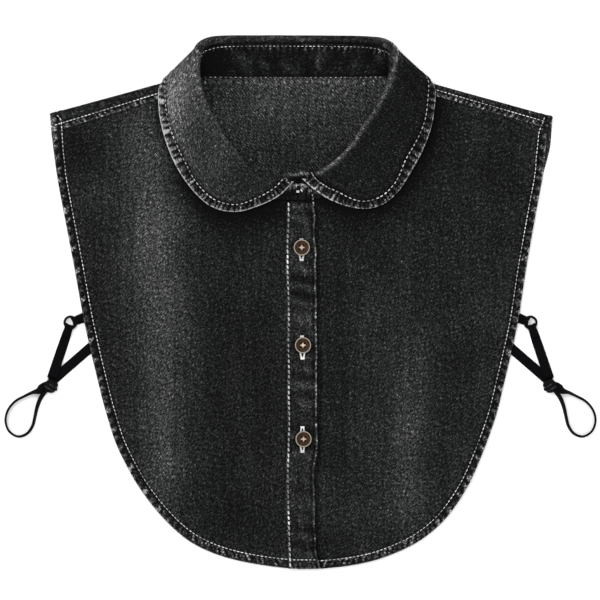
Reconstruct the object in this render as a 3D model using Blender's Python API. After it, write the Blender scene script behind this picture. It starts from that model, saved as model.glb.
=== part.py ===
"""Detachable denim shirt collar, laid flat with its panels on each other.

Metres, +Z up. The origin lies on the resting surface below the middle of the bib.
+X runs to the side where the front edge with the buttons ends, +Y runs to the back of the neck.
Tables are in millimetres and go through MM.
"""
from collections import namedtuple
from math import cos, pi, radians, sin

import bmesh
import bpy
from mathutils import Vector, geometry

MM = 0.001

# Cloth and layers
CLOTH = 1.2 * MM             # one layer of denim
COLLAR_WALL = 1.8 * MM       # two layers with interlining
STAND_WALL = 1.5 * MM
PLACKET_WALL = 1.6 * MM
GAP = 0.3 * MM               # between neighbouring pieces
SETTLE = 0.1 * MM            # slack that a laid piece keeps besides the gap
LAYER = CLOTH + GAP

# The back of the collar lies under the back panel and lifts it
LIFT = COLLAR_WALL + GAP + 2 * SETTLE
LIFT_START_Y, LIFT_FULL_Y = 112 * MM, 142 * MM
LIFT_FULL_X, LIFT_END_X = 99 * MM, 129 * MM

COLLAR_AXIS = -2.7 * MM      # the neck sits a little left of the bib's middle

# Shoulders: the back panel turns forward over a fold and is felled down on the fronts
Shoulder = namedtuple("Shoulder", "tip neck fell_tip fell_neck")
SHOULDERS = {
    -1: Shoulder((-180.4, 133.8), (-82.7, 160.4), (-179.6, 123.4), (-84.7, 152.4)),
    1: Shoulder((181.4, 131.6), (78.4, 160.1), (180.4, 125.6), (79.3, 154.8)),
}
FOLD_RADIUS = LAYER
FOLD_STEPS = 4

# Front opening
OPENING_X = -2.6 * MM        # where the two fronts meet under the placket
OPENING_GAP = 0.8 * MM
Edge = namedtuple("Edge", "y left right")
PLACKET_EDGES = [Edge(*row) for row in (
    (72.4, -9.8, 8.0),
    (60.0, -9.6, 9.2),
    (40.0, -9.5, 11.2),
    (0.0, -9.5, 11.0),
    (-50.0, -9.4, 11.0),
    (-100.0, -9.3, 12.0),
    (-150.0, -9.2, 10.8),
    (-180.0, -8.8, 11.4),
    (-192.3, -8.4, 14.2),
)]
BUTTON_PLACES = [(0.9, 39.2), (1.8, -31.1), (2.2, -98.6)]
# From the middle of the underside round the raised rim to the middle of the dish: (radius, height)
BUTTON_PROFILE = [(0, 0), (3.6, 0), (5.4, 0.7), (6.2, 1.5), (6.1, 2.3), (5.5, 2.7), (4.7, 2.5), (4.1, 1.9),
                  (0, 1.7)]
HOLE_RADIUS = 0.75 * MM
HOLE_OFFSET = 1.45 * MM

# Side elastics
ELASTIC_WIDTH = 6.0 * MM
ELASTIC_THICK = 0.8 * MM
RING_RADIUS = 4.3 * MM
RING_WIRE = 0.65 * MM
FLAT_Z = ELASTIC_THICK / 2 + 0.05 * MM
TURN_RADIUS = RING_WIRE + GAP + ELASTIC_THICK / 2 + 0.05 * MM
RING_Z = FLAT_Z + TURN_RADIUS

# Mesh spacing of the panels
FINE, COARSE = 9 * MM, 24 * MM
FINE_FROM_Y = 98 * MM

Side = namedtuple("Side", "y left right")
BIB_SIDES = [Side(*row) for row in (
    (118.0, 179.1, 177.4),
    (91.4, 175.5, 174.6),
    (69.8, 171.6, 170.7),
    (26.6, 163.3, 163.0),
    (-16.6, 155.3, 156.2),
    (-59.8, 145.3, 146.4),
    (-81.4, 139.6, 141.0),
    (-103.0, 132.5, 133.5),
    (-124.6, 121.7, 124.6),
    (-136.0, 114.5, 118.6),
    (-146.2, 107.0, 112.1),
    (-156.0, 98.5, 104.6),
    (-164.4, 90.0, 96.0),
    (-171.9, 80.6, 86.0),
    (-177.6, 70.4, 75.6),
    (-182.1, 59.6, 65.2),
    (-185.7, 47.4, 54.8),
    (-188.5, 33.9, 43.3),
    (-190.6, 20.0, 30.4),
    (-192.2, 5.0, 14.4),
)]
BACK_SHOW = 3.6 * MM         # the back panel peeps out beside the right front's upper edge
BACK_INSET = 0.4 * MM
NECK_ALLOWANCE = 1.5 * MM    # the panels run on under the neck seam

Station = namedtuple("Station", "crest_l crest_r edge_l edge_r neck crest_z edge_z neck_z roll turn")
# From the front end to the middle of the back. Plan points are (outwards from the collar's axis, y).
# roll is the radius over which the collar turns down; turn swings it from on top (0) to underneath (180).
COLLAR = [Station(*row) for row in (
    ((5.0, 88.9), (5.4, 89.7), (3.4, 85.2), (4.4, 86.2), (8.0, 73.6), 7.6, 8.4, 4.0, 1.5, 0),
    ((17.9, 88.0), (17.4, 95.0), (13.2, 76.0), (15.3, 78.5), (22.2, 75.6), 7.4, 6.9, 4.0, 1.8, 0),
    ((25.8, 89.8), (26.4, 101.9), (29.4, 68.4), (29.7, 70.9), (34.0, 80.4), 7.9, 5.2, 4.0, 2.2, 0),
    ((32.5, 95.2), (34.0, 109.1), (45.2, 64.8), (46.9, 67.0), (44.6, 87.6), 8.6, 4.4, 4.0, 2.4, 0),
    ((40.2, 105.8), (40.5, 117.0), (61.8, 68.8), (61.3, 70.9), (55.4, 98.0), 9.4, 4.2, 4.0, 2.6, 0),
    ((49.5, 117.4), (46.9, 127.4), (75.5, 81.0), (72.9, 81.4), (65.0, 109.4), 10.2, 4.2, 4.1, 2.6, 0),
    ((57.5, 130.3), (53.8, 136.8), (87.0, 97.9), (82.2, 96.1), (72.6, 122.6), 11.2, 4.3, 4.6, 2.6, 5),
    ((63.9, 142.9), (59.5, 147.1), (94.5, 115.9), (89.8, 110.2), (76.6, 135.6), 12.6, 5.0, 6.2, 2.6, 12),
    ((68.1, 155.2), (63.9, 156.6), (98.5, 131.8), (96.3, 126.9), (77.2, 147.0), 14.4, 6.4, 6.4, 2.6, 25),
    ((70.4, 165.6), (66.9, 166.0), (99.7, 144.7), (99.5, 142.4), (75.2, 155.0), 16.2, 8.0, 5.8, 2.6, 50),
    ((71.5, 174.2), (68.9, 174.2), (99.4, 152.6), (99.9, 151.8), (72.6, 159.6), 16.8, 8.2, 5.0, 2.6, 78),
    ((71.8, 179.8), (70.4, 179.5), (97.0, 157.2), (97.4, 157.0), (69.8, 161.4), 15.2, 7.6, 4.8, 2.6, 98),
    ((71.4, 184.0), (69.8, 183.7), (95.2, 160.0), (95.2, 160.0), (66.0, 162.2), 12.4, 4.5, 4.8, 2.6, 118),
    ((68.4, 187.9), (66.5, 187.4), (93.6, 158.8), (93.8, 158.9), (61.0, 162.4), 9.8, 1.2, 4.8, 2.7, 138),
    ((63.4, 190.6), (61.4, 190.2), (91.6, 152.8), (91.8, 152.8), (54.6, 162.4), 7.2, 0.95, 4.8, 2.8, 158),
    ((55.3, 192.0), (52.7, 191.5), (83.6, 148.7), (83.6, 148.7), (45.6, 162.3), 5.2, 0.95, 4.8, 3.0, 173),
    ((36.6, 192.3), (35.4, 192.0), (55.3, 145.8), (55.3, 145.8), (27.6, 162.2), 4.05, 0.95, 4.8, 3.0, 180),
    ((0.0, 192.3), (0.0, 192.3), (0.0, 144.7), (0.0, 144.7), (0.0, 162.1), 3.95, 0.95, 4.8, 3.0, 180),
)]
STATION_STEPS = 2            # sections made between two stations
SEAM_LEAD = 2.4 * MM         # stand seam, ahead of the roll
SEAM_STRAIGHT = 0.8 * MM     # the stand runs straight into that seam
ROLL_STEPS = 6
FALL_STEPS = 5
STAND_STEPS = 5
NORMAL_SMOOTHING = 2
CREST_FOLLOW = 0.8
# The left end of the stand runs on across the front: outwards, seam y, top y, seam z, top z
STAND_END = [(3.0, 73.4, 84.6, 4.0, 5.2), (-3.0, 73.2, 84.6, 4.0, 4.5), (-9.6, 73.3, 84.6, 4.0, 4.4)]
RIGHT_STAND_END = (10.6, 73.7, 86.4, 4.0, 5.6)

# Left elastics: route points as (x, y); the right side mirrors them, from a slightly wider panel
RING_PLACE = (-165.7, -14.8)
TAB_START, TAB_HOOK = (-156.45, -11.3), (-161.7, -13.3)
UPPER_START, UPPER_HOOK = (-179.3, -55.2), (-167.1, -18.9)
LOWER_START, LOWER_END = (-151.75, -33.1), (-177.0, -53.3)
RIGHT_WIDER = 0.8
PANEL_EDGE = Vector((-0.22, 0.975, 0))
HOOK_SLACK = 0.5 * MM
RING_SQUEEZE = 0.74          # a band is gathered where it goes through the ring
TAB_BACK, UPPER_BACK = 2.0 * MM, 7.0 * MM
BAND_COLUMNS = 4
KNOT_PLACE = (-179.6, -60.5)
KNOT_SIZE = (4.3, 4.7, 3.0)
KNOT_LIFT = 1.25 * MM        # the upper strap comes to the knot over the lower one
Bend = namedtuple("Bend", "x y rise lean")
# lean turns the band from flat (0) to standing on its edge (90); rise is its lower edge
LOOP = [Bend(*row) for row in (
    (-184.9, -60.9, 1.2, 4),
    (-188.3, -63.0, 0.6, 40),
    (-193.3, -65.2, 0.1, 69),
    (-198.6, -67.7, 0.05, 84),
    (-205.6, -71.6, 0.05, 90),
    (-210.8, -78.0, 0.05, 90),
    (-212.5, -85.6, 0.05, 90),
    (-210.0, -93.0, 0.05, 90),
    (-203.6, -96.9, 0.05, 90),
    (-197.0, -94.8, 0.05, 90),
    (-193.0, -89.2, 0.05, 90),
    (-191.3, -82.6, 0.05, 82),
    (-189.9, -76.3, 0.05, 69),
    (-187.8, -70.4, 0.1, 62),
    (-185.4, -66.4, 0.2, 60),
)]
LOOP_STEPS = 3


def clear_scene():
    for item in list(bpy.data.objects):
        bpy.data.objects.remove(item, do_unlink=True)


def material(name, colour, roughness, metallic=0.0):
    made = bpy.data.materials.new(name)
    made.use_nodes = True
    shader = made.node_tree.nodes["Principled BSDF"]
    shader.inputs["Base Color"].default_value = (*colour, 1)
    shader.inputs["Roughness"].default_value = roughness
    shader.inputs["Metallic"].default_value = metallic
    return made


def add_object(name, bm, surface, smooth=40):
    bmesh.ops.recalc_face_normals(bm, faces=bm.faces)
    mesh = bpy.data.meshes.new(name)
    bm.to_mesh(mesh)
    bm.free()
    mesh.materials.append(surface)
    mesh.shade_smooth()
    mesh.set_sharp_from_angle(angle=radians(smooth))
    made = bpy.data.objects.new(name, mesh)
    bpy.context.scene.collection.objects.link(made)
    return made


def wall(name, points, faces, thickness, surface):
    """A closed wall of even thickness about a middle surface."""
    bm = bmesh.new()
    verts = [bm.verts.new(p) for p in points]
    for face in faces:
        bm.faces.new([verts[i] for i in face])
    bmesh.ops.recalc_face_normals(bm, faces=bm.faces)
    made = add_object(name, bm, surface)
    solid = made.modifiers.new("wall", "SOLIDIFY")
    solid.thickness = thickness
    solid.offset = 0
    return made


def ease(value):
    value = min(max(value, 0.0), 1.0)
    return value * value * (3 - 2 * value)


def spline(points, steps):
    """Points along a Catmull-Rom curve, with so many steps from one given point to the next."""
    ends = [points[0] * 2 - points[1], *points, points[-1] * 2 - points[-2]]
    found = []
    for i in range(1, len(ends) - 2):
        a, b, c, d = ends[i - 1:i + 3]
        for k in range(steps):
            t = k / steps
            found.append(0.5 * (2 * b + (c - a) * t + (2 * a - 5 * b + 4 * c - d) * t ** 2
                                + (3 * b - a - 3 * c + d) * t ** 3))
    return [*found, points[-1]]


def bezier(a, b, c, d, steps):
    return [a * (1 - t) ** 3 + 3 * b * t * (1 - t) ** 2 + 3 * c * t ** 2 * (1 - t) + d * t ** 3
            for t in (k / steps for k in range(steps + 1))]


def back_height(x, y):
    """Middle of the back panel: flat on the surface, lifted where the collar lies under it."""
    across = ease((LIFT_END_X - abs(x - COLLAR_AXIS)) / (LIFT_END_X - LIFT_FULL_X))
    along = ease((y - LIFT_START_Y) / (LIFT_FULL_Y - LIFT_START_Y))
    return CLOTH / 2 + LIFT * across * along


def front_height(x, y):
    return back_height(x, y) + LAYER


def contains(outline, point):
    inside = False
    for a, b in zip(outline, outline[1:] + outline[:1]):
        if (a.y > point.y) != (b.y > point.y):
            if point.x < a.x + (point.y - a.y) / (b.y - a.y) * (b.x - a.x):
                inside = not inside
    return inside


def inner_points(outline, lines):
    """A staggered lattice inside the outline, closer together where the cloth is lifted."""
    low, high = min(p.y for p in outline), max(p.y for p in outline)
    left, right = min(p.x for p in outline), max(p.x for p in outline)
    edges = list(zip(outline, outline[1:] + outline[:1])) + lines
    found = []
    y, row = low, 0
    while y < high:
        space = FINE if y > FINE_FROM_Y else COARSE
        x = left + (row % 2) * space / 2
        while x < right:
            point = Vector((x, y))
            if contains(outline, point) and not near_edge(point, edges, space * 0.45):
                found.append(point)
            x += space
        y += space * 0.866
        row += 1
    return found


def near_edge(point, edges, distance):
    for a, b in edges:
        foot, share = geometry.intersect_point_line(point, a, b)
        foot = a if share < 0 else b if share > 1 else foot.xy
        if (foot - point).length < distance:
            return True
    return False


def filled(outline, lines=()):
    """Triangles over an outline, with each line of points kept as edges."""
    points = outline + [p for line in lines for p in line]
    edges = [(i, (i + 1) % len(outline)) for i in range(len(outline))]
    first = len(outline)
    spans = []
    for line in lines:
        edges += [(first + i, first + i + 1) for i in range(len(line) - 1)]
        spans += list(zip(line, line[1:]))
        first += len(line)
    points = points + inner_points(outline, spans)
    found = geometry.delaunay_2d_cdt(points, edges, [], 1, 1e-7)
    return found[0], found[2]


def half_outline(side):
    """One side of the bib, from under the shoulder down to the hem: (outwards, y)."""
    return [Vector((getattr(row, side), row.y)) * MM for row in BIB_SIDES]


def mirrored(points, sign):
    return [Vector((p.x * sign, p.y)) for p in points]


def neck_seam(row, sign):
    """Plan point of the neck seam, which keeps its distance to the crest on both sides."""
    shift = 0 if sign < 0 else (row.crest_r[0] - row.crest_l[0]) * CREST_FOLLOW
    return Vector((row.neck[0] + shift, row.neck[1]))


def neck_points(first, last, sign, inwards):
    """The neck seam between two stations, moved into the neck opening."""
    found = []
    for row in COLLAR[first:last + 1]:
        seam = neck_seam(row, sign) * MM
        crest = Vector(row.crest_l if sign < 0 else row.crest_r) * MM
        found.append(seam + (crest - seam).normalized() * inwards)
    return [Vector((COLLAR_AXIS + sign * p.x, p.y)) for p in found]


def front_outline(sign):
    """Outline of one front: opening, neck, shoulder under the felled strip, side and hem."""
    sides = half_outline("left" if sign < 0 else "right")
    down = Vector((0.0, -1.0)) * MM
    ends = SHOULDERS[sign]
    neck_end = Vector((ends.neck[0] * sign, ends.neck[1])) * MM + down
    tip = Vector((sides[0].x + 0.2 * MM, ends.tip[1] * MM)) + down
    shoulder = [neck_end.lerp(tip, t / 8) for t in range(9)]
    corner = Vector((sides[0].x + 1.0 * MM, (ends.tip[1] - 5) * MM))
    opening = OPENING_X + sign * OPENING_GAP / 2
    neck = neck_points(0, 8, sign, NECK_ALLOWANCE)
    outer = mirrored([*shoulder, corner, *sides], sign)
    if sign < 0:
        outer = [p for p in outer if p.x < opening - 2 * MM]
    return [Vector((opening, neck[0].y)), *neck, *outer, Vector((opening, sides[-1].y - 0.3 * MM))]


def make_front(name, sign, surface):
    points, faces = filled(front_outline(sign))
    shaped = [(p.x, p.y, front_height(p.x, p.y)) for p in points]
    return wall(name, shaped, faces, CLOTH, surface)


def fold_frame(sign):
    tip, neck = (Vector(point) * MM for point in SHOULDERS[sign][:2])
    along = (neck - tip).normalized()
    out = Vector((-along.y, along.x))
    if out.y < 0:
        out = -out
    return tip, neck, out


def beyond_fold(point, sign):
    tip, _, out = fold_frame(sign)
    return (point - tip).dot(out)


def unfold(point, sign):
    """Where a point of the felled strip lies before the shoulder is folded."""
    out = fold_frame(sign)[2]
    return point - out * (2 * beyond_fold(point, sign) - pi * FOLD_RADIUS)


def folded(point):
    """A point of the back panel's pattern, turned forward where it passes a shoulder fold."""
    for sign in (-1, 1):
        out = fold_frame(sign)[2]
        past = beyond_fold(point, sign)
        if past > 1e-9 and point.x * sign > 60 * MM:
            arc = min(past / FOLD_RADIUS, pi)
            flat = point - out * past
            shift = FOLD_RADIUS * sin(arc) - max(past - pi * FOLD_RADIUS, 0)
            spot = flat + out * shift
            height = back_height(spot.x, spot.y)
            return Vector((spot.x, spot.y, height + FOLD_RADIUS * (1 - cos(arc))))
    return Vector((point.x, point.y, back_height(point.x, point.y)))


def back_half(sign):
    """Half of the back panel's pattern from the middle of the hem to the middle of the neck."""
    side = "left" if sign < 0 else "right"
    sides = []
    for p in half_outline(side):
        show = BACK_SHOW * ease((p.y - 85 * MM) / (30 * MM)) if sign > 0 else 0
        sides.append(Vector((p.x - BACK_INSET + show, p.y + (BACK_INSET if p.y < -150 * MM else 0))))
    tip, neck, out = fold_frame(sign)
    strip = [unfold(Vector(point) * MM, sign) for point in SHOULDERS[sign][2:]]
    rise = out * (pi * FOLD_RADIUS)
    lines = []
    for k in range(FOLD_STEPS + 1):
        shift = rise * (k / FOLD_STEPS)
        lines.append([(tip + shift).lerp(neck + shift, t / 10) for t in range(11)])
    outer = mirrored(list(reversed(sides)), sign)
    edge = [strip[0].lerp(strip[1], t / 8) for t in range(9)]
    neck_line = neck_points(9, len(COLLAR) - 1, sign, NECK_ALLOWANCE)
    outline = outer + [line[0] for line in lines] + edge + [line[-1] for line in reversed(lines)]
    return outline, neck_line, lines


def make_back(surface):
    left, left_neck, left_lines = back_half(-1)
    right, right_neck, right_lines = back_half(1)
    around = left + left_neck + list(reversed(right_neck))[1:] + list(reversed(right))
    points, faces = filled(around, left_lines + right_lines)
    return wall("back_panel", [folded(p) for p in points], faces, CLOTH, surface)


def make_placket(surface):
    """The folded strip on the left front's edge, over the meeting fronts."""
    left = spline([Vector((row.left, row.y)) * MM for row in PLACKET_EDGES], 3)
    right = spline([Vector((row.right, row.y)) * MM for row in PLACKET_EDGES], 3)
    lift = LAYER + (PLACKET_WALL - CLOTH) / 2
    points, faces = [], []
    across = 4
    for a, b in zip(left, right):
        for k in range(across + 1):
            p = a.lerp(b, k / across)
            points.append((p.x, p.y, front_height(p.x, p.y) + lift))
    for i in range(len(left) - 1):
        for k in range(across):
            first = i * (across + 1) + k
            faces.append((first, first + 1, first + across + 2, first + across + 1))
    return wall("placket", points, faces, PLACKET_WALL, surface)


def collar_sections():
    """Sections right round the collar, from the left front end over the back to the right front end.

    Each is (stand points, fall points), which share the seam between them.
    """
    rows = [(row, -1) for row in COLLAR] + [(row, 1) for row in reversed(COLLAR[:-1])]
    crests, edges, necks, shapes = [], [], [], []
    for row, sign in rows:
        crest, edge = (row.crest_l, row.edge_l) if sign < 0 else (row.crest_r, row.edge_r)
        crests.append(Vector((COLLAR_AXIS / MM + sign * crest[0], crest[1], row.crest_z)) * MM)
        edges.append(Vector((COLLAR_AXIS / MM + sign * edge[0], edge[1], row.edge_z)) * MM)
        seam = neck_seam(row, sign)
        necks.append(Vector((COLLAR_AXIS / MM + sign * seam.x, seam.y, row.neck_z)) * MM)
        shapes.append(Vector((row.roll * MM, radians(row.turn), 0)))
    crests, edges, necks, shapes = (spline(line, STATION_STEPS) for line in (crests, edges, necks, shapes))
    found = []
    for i, crest in enumerate(crests):
        ahead = crests[min(i + 1, len(crests) - 1)] - crests[max(i - 1, 0)]
        out = Vector((-ahead.y, ahead.x, 0)).normalized()
        roll, turn = shapes[i][0], shapes[i][1]
        up = Vector((0, 0, 1))
        towards_fall = up * cos(turn) + out * sin(turn)
        tip = up * sin(turn) - out * cos(turn)
        centre = crest - tip * (COLLAR_WALL / 2 + roll)
        found.append(section(necks[i], centre, edges[i], roll, tip, towards_fall))
    return found


def section(neck, centre, edge, roll, tip, towards_fall):
    before, after = centre - towards_fall * roll, centre + towards_fall * roll
    seam = before - tip * SEAM_LEAD
    rise, drop = (seam - neck).length, (edge - after).length
    lying = 1 - tip.z
    upright = seam - tip * SEAM_STRAIGHT
    below_seam = upright - tip * rise * 0.25 * lying
    stand = bezier(neck, neck.lerp(upright, 0.35), below_seam, upright, STAND_STEPS - 1)
    stand.append(seam)
    turns = [pi * (k / ROLL_STEPS - 0.5) for k in range(ROLL_STEPS + 1)]
    over = [centre + tip * roll * cos(a) + towards_fall * roll * sin(a) for a in turns]
    handle = drop * 0.25 * lying + roll * 0.8 * (1 - lying)
    fall = bezier(after, after - tip * handle, edge.lerp(after, 0.35), edge, FALL_STEPS)
    return stand, [seam, *over, *fall[1:]]


def strip_faces(columns, rows):
    return [(i * rows + k, i * rows + k + 1, (i + 1) * rows + k + 1, (i + 1) * rows + k)
            for i in range(columns - 1) for k in range(rows - 1)]


def end_row(sign, out, seam_y, top_y, seam_z, top_z):
    low = Vector((COLLAR_AXIS / MM + sign * out, seam_y, seam_z)) * MM
    high = Vector((COLLAR_AXIS / MM + sign * out, top_y, top_z)) * MM
    return [low.lerp(high, k / STAND_STEPS) for k in range(STAND_STEPS + 1)]


def grid_normals(grid):
    """Surface directions over a grid of points, smoothed along it."""
    found = []
    for i, row in enumerate(grid):
        before, after = grid[max(i - 1, 0)], grid[min(i + 1, len(grid) - 1)]
        line = []
        for k in range(len(row)):
            along = after[k] - before[k]
            across = row[min(k + 1, len(row) - 1)] - row[max(k - 1, 0)]
            line.append(along.cross(across).normalized())
        found.append(line)
    for _ in range(NORMAL_SMOOTHING):
        before, after = [found[0], *found[:-1]], [*found[1:], found[-1]]
        found = [[(a + b * 2 + c).normalized() for a, b, c in zip(*lines)]
                 for lines in zip(before, found, after)]
    return found


def grid_wall(name, grid, normals, thickness, surface):
    """A closed wall about a grid of points."""
    bm = bmesh.new()
    above = [[bm.verts.new(p + n * thickness / 2) for p, n in zip(*pair)] for pair in zip(grid, normals)]
    below = [[bm.verts.new(p - n * thickness / 2) for p, n in zip(*pair)] for pair in zip(grid, normals)]
    for side in (above, below):
        for a, b in zip(side, side[1:]):
            for k in range(len(a) - 1):
                bm.faces.new((a[k], a[k + 1], b[k + 1], b[k]))
    rim = [(i, 0) for i in range(len(grid))]
    rim += [(len(grid) - 1, k) for k in range(1, len(grid[0]))]
    rim += [(i, len(grid[0]) - 1) for i in range(len(grid) - 2, -1, -1)]
    rim += [(0, k) for k in range(len(grid[0]) - 2, 0, -1)]
    for (i, k), (j, m) in zip(rim, rim[1:] + rim[:1]):
        bm.faces.new((above[i][k], above[j][m], below[j][m], below[i][k]))
    return add_object(name, bm, surface)


def make_collar(stand_surface, fall_surface):
    """The collar turns down over the stand. Both are cut from one folded surface, parted at their seam."""
    whole = []
    for stand, fall in collar_sections():
        step = (fall[1] - fall[0]).normalized() * GAP / 2
        whole.append(stand[:-1] + [stand[-1] - step, fall[0] + step] + fall[1:])
    normals = grid_normals(whole)
    count = STAND_STEPS + 1
    falls, fall_normals = [row[count:] for row in whole], [row[count:] for row in normals]
    grid_wall("collar_fall", falls, fall_normals, COLLAR_WALL, fall_surface)
    last = COLLAR_AXIS + (RIGHT_STAND_END[0] + 1) * MM
    stands = [row[:count] for row in whole if row[count - 1].x < 0 or row[count - 1].x > last]
    stands = [end_row(-1, *end) for end in reversed(STAND_END)] + stands + [end_row(1, *RIGHT_STAND_END)]
    grid_wall("collar_stand", stands, grid_normals(stands), STAND_WALL, stand_surface)


def make_button(name, place, surface):
    """A dished button with a raised rim and four holes, turned about its middle."""
    base = front_height(place[0] * MM, place[1] * MM) + CLOTH / 2 + GAP + PLACKET_WALL + GAP
    bm = bmesh.new()
    verts = [bm.verts.new((x * MM, 0, base + z * MM)) for x, z in BUTTON_PROFILE]
    for a, b in zip(verts, verts[1:]):
        bm.edges.new((a, b))
    bmesh.ops.spin(bm, geom=bm.verts[:] + bm.edges[:], cent=(0, 0, 0), axis=(0, 0, 1), angle=2 * pi,
                   steps=24)
    bmesh.ops.remove_doubles(bm, verts=bm.verts, dist=1e-6)
    button = add_object(name, bm, surface, 30)
    button.location = (place[0] * MM, place[1] * MM, 0)
    cutter = hole_cutter(name + "_holes", base)
    cutter.location = button.location
    cut = button.modifiers.new("holes", "BOOLEAN")
    cut.operation = "DIFFERENCE"
    cut.object = cutter
    return button


def hole_cutter(name, base):
    bm = bmesh.new()
    for k in range(4):
        angle = pi / 4 + k * pi / 2
        made = bmesh.ops.create_cone(bm, cap_ends=True, segments=8, radius1=HOLE_RADIUS,
                                     radius2=HOLE_RADIUS, depth=6 * MM)
        shift = (HOLE_OFFSET * cos(angle), HOLE_OFFSET * sin(angle), base + 1 * MM)
        bmesh.ops.translate(bm, verts=made["verts"], vec=shift)
    mesh = bpy.data.meshes.new(name)
    bm.to_mesh(mesh)
    bm.free()
    cutter = bpy.data.objects.new(name, mesh)
    bpy.context.scene.collection.objects.link(cutter)
    cutter.hide_render = True
    cutter.display_type = "WIRE"
    return cutter


def band(name, path, sideways, surface):
    """A flat band along a path; sideways is the direction of its width at each point."""
    bm = bmesh.new()
    rings = []
    for i, spot in enumerate(path):
        along = (path[min(i + 1, len(path) - 1)] - path[max(i - 1, 0)]).normalized()
        wide = (sideways[i] - along * sideways[i].dot(along)).normalized()
        thick = along.cross(wide)
        half_w, half_t = wide * ELASTIC_WIDTH / 2, thick * ELASTIC_THICK / 2
        corners = (half_w + half_t, half_t - half_w, -half_w - half_t, half_w - half_t)
        rings.append([bm.verts.new(spot + c) for c in corners])
    for a, b in zip(rings, rings[1:]):
        for k in range(4):
            bm.faces.new((a[k], a[(k + 1) % 4], b[(k + 1) % 4], b[k]))
    bm.faces.new(rings[0])
    bm.faces.new(rings[-1])
    return add_object(name, bm, surface, 30)


def flat_point(place, sign, height):
    return Vector((-sign * place[0] * MM, place[1] * MM, height))


def flat_band(name, start, end, sign, surface, slant=0.0, lift=0.0, back=None):
    """A flat band between two plan points. With back, it goes round the ring wire at its end."""
    a, b = flat_point(start, sign, FLAT_Z), flat_point(end, sign, FLAT_Z)
    along = (b - a).normalized()
    across = Vector((-along.y, along.x, 0))
    up = Vector((0, 0, 1))
    points, rows = [], 0
    for k in range(BAND_COLUMNS + 1):
        side = ELASTIC_WIDTH * (k / BAND_COLUMNS - 0.5)
        end = side * RING_SQUEEZE if back else side
        bow = RING_RADIUS - (RING_RADIUS ** 2 - end ** 2) ** 0.5 + HOOK_SLACK if back else 0
        first = a + across * side + along * side * slant
        last = b + across * end + along * bow
        line = [first.lerp(last, t / 8) + up * lift * ease(1.25 - t / 8 * 1.6) for t in range(9)]
        if back:
            for step in range(1, 7):
                angle = pi * step / 6
                line.append(last + along * TURN_RADIUS * sin(angle) + up * TURN_RADIUS * (1 - cos(angle)))
            line.append(line[-1] - along * (back + bow) + across * (side - end) * 0.7)
        points += line
        rows = len(line)
    return wall(name, points, strip_faces(BAND_COLUMNS + 1, rows), ELASTIC_THICK, surface)


def edge_slant(start, end, sign):
    """How far a band's end slants over its width to lie along the panel's edge."""
    along = (flat_point(end, sign, 0) - flat_point(start, sign, 0)).normalized()
    across = Vector((-along.y, along.x, 0))
    edge = Vector((-sign * PANEL_EDGE.x, PANEL_EDGE.y, 0))
    return edge.dot(along) / edge.dot(across)


def panel_start(place, towards, sign):
    step = (Vector(towards) - Vector(place)).normalized() * RIGHT_WIDER
    return tuple(Vector(place) + step) if sign > 0 else place


def make_elastics(side, sign, elastic, metal):
    tab, lower = panel_start(TAB_START, TAB_HOOK, sign), panel_start(LOWER_START, LOWER_END, sign)
    flat_band("tab_" + side, tab, TAB_HOOK, sign, elastic,
              slant=edge_slant(tab, TAB_HOOK, sign), back=TAB_BACK)
    flat_band("strap_upper_" + side, UPPER_START, UPPER_HOOK, sign, elastic,
              lift=KNOT_LIFT, back=UPPER_BACK)
    flat_band("strap_lower_" + side, lower, LOWER_END, sign, elastic,
              slant=edge_slant(lower, LOWER_END, sign))
    make_loop(side, sign, elastic)
    make_ring(side, sign, metal)
    make_knot(side, sign, elastic)


def make_loop(side, sign, surface):
    route = spline([Vector((-sign * row.x, row.y, 0)) for row in LOOP], LOOP_STEPS)
    holds = spline([Vector((row.rise, row.lean)) for row in LOOP], LOOP_STEPS)
    path, wide = [], []
    for i, spot in enumerate(route):
        rise, lean = max(holds[i].x, 0.05) * MM, radians(min(max(holds[i].y, 0), 90))
        ahead = route[min(i + 1, len(route) - 1)] - route[max(i - 1, 0)]
        across = Vector((-ahead.y, ahead.x, 0)).normalized()
        height = ELASTIC_WIDTH / 2 * sin(lean) + ELASTIC_THICK / 2 * cos(lean) + rise
        path.append(Vector((spot.x * MM, spot.y * MM, height)))
        wide.append(across * cos(lean) + Vector((0, 0, sin(lean))))
    band("strap_loop_" + side, path, wide, surface)


def make_ring(side, sign, surface):
    bm = bmesh.new()
    around, wire = 24, 8
    rings = []
    for i in range(around):
        turn = 2 * pi * i / around
        out = Vector((cos(turn), sin(turn), 0))
        centre = flat_point(RING_PLACE, sign, RING_Z) + out * RING_RADIUS
        rings.append([bm.verts.new(centre + out * RING_WIRE * cos(a) + Vector((0, 0, RING_WIRE * sin(a))))
                      for a in (2 * pi * k / wire for k in range(wire))])
    for a, b in zip(rings, rings[1:] + rings[:1]):
        for k in range(wire):
            bm.faces.new((a[k], a[(k + 1) % wire], b[(k + 1) % wire], b[k]))
    add_object("ring_" + side, bm, surface)


def make_knot(side, sign, surface):
    """A rounded lump with two shallow turns of the band round it."""
    bm = bmesh.new()
    bmesh.ops.create_uvsphere(bm, u_segments=16, v_segments=10, radius=1)
    half = Vector(KNOT_SIZE) * MM
    place = flat_point(KNOT_PLACE, sign, half.z + 0.1 * MM)
    for vert in bm.verts:
        turns = 1 - 0.08 * (1 + cos(vert.co.y * 3 * pi)) / 2
        square = max(abs(vert.co.x), abs(vert.co.y), abs(vert.co.z)) ** -0.25
        shaped = vert.co * square * turns * 0.93
        vert.co = place + Vector((shaped.x * half.x, shaped.y * half.y, shaped.z * half.z))
    add_object("knot_" + side, bm, surface)


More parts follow.
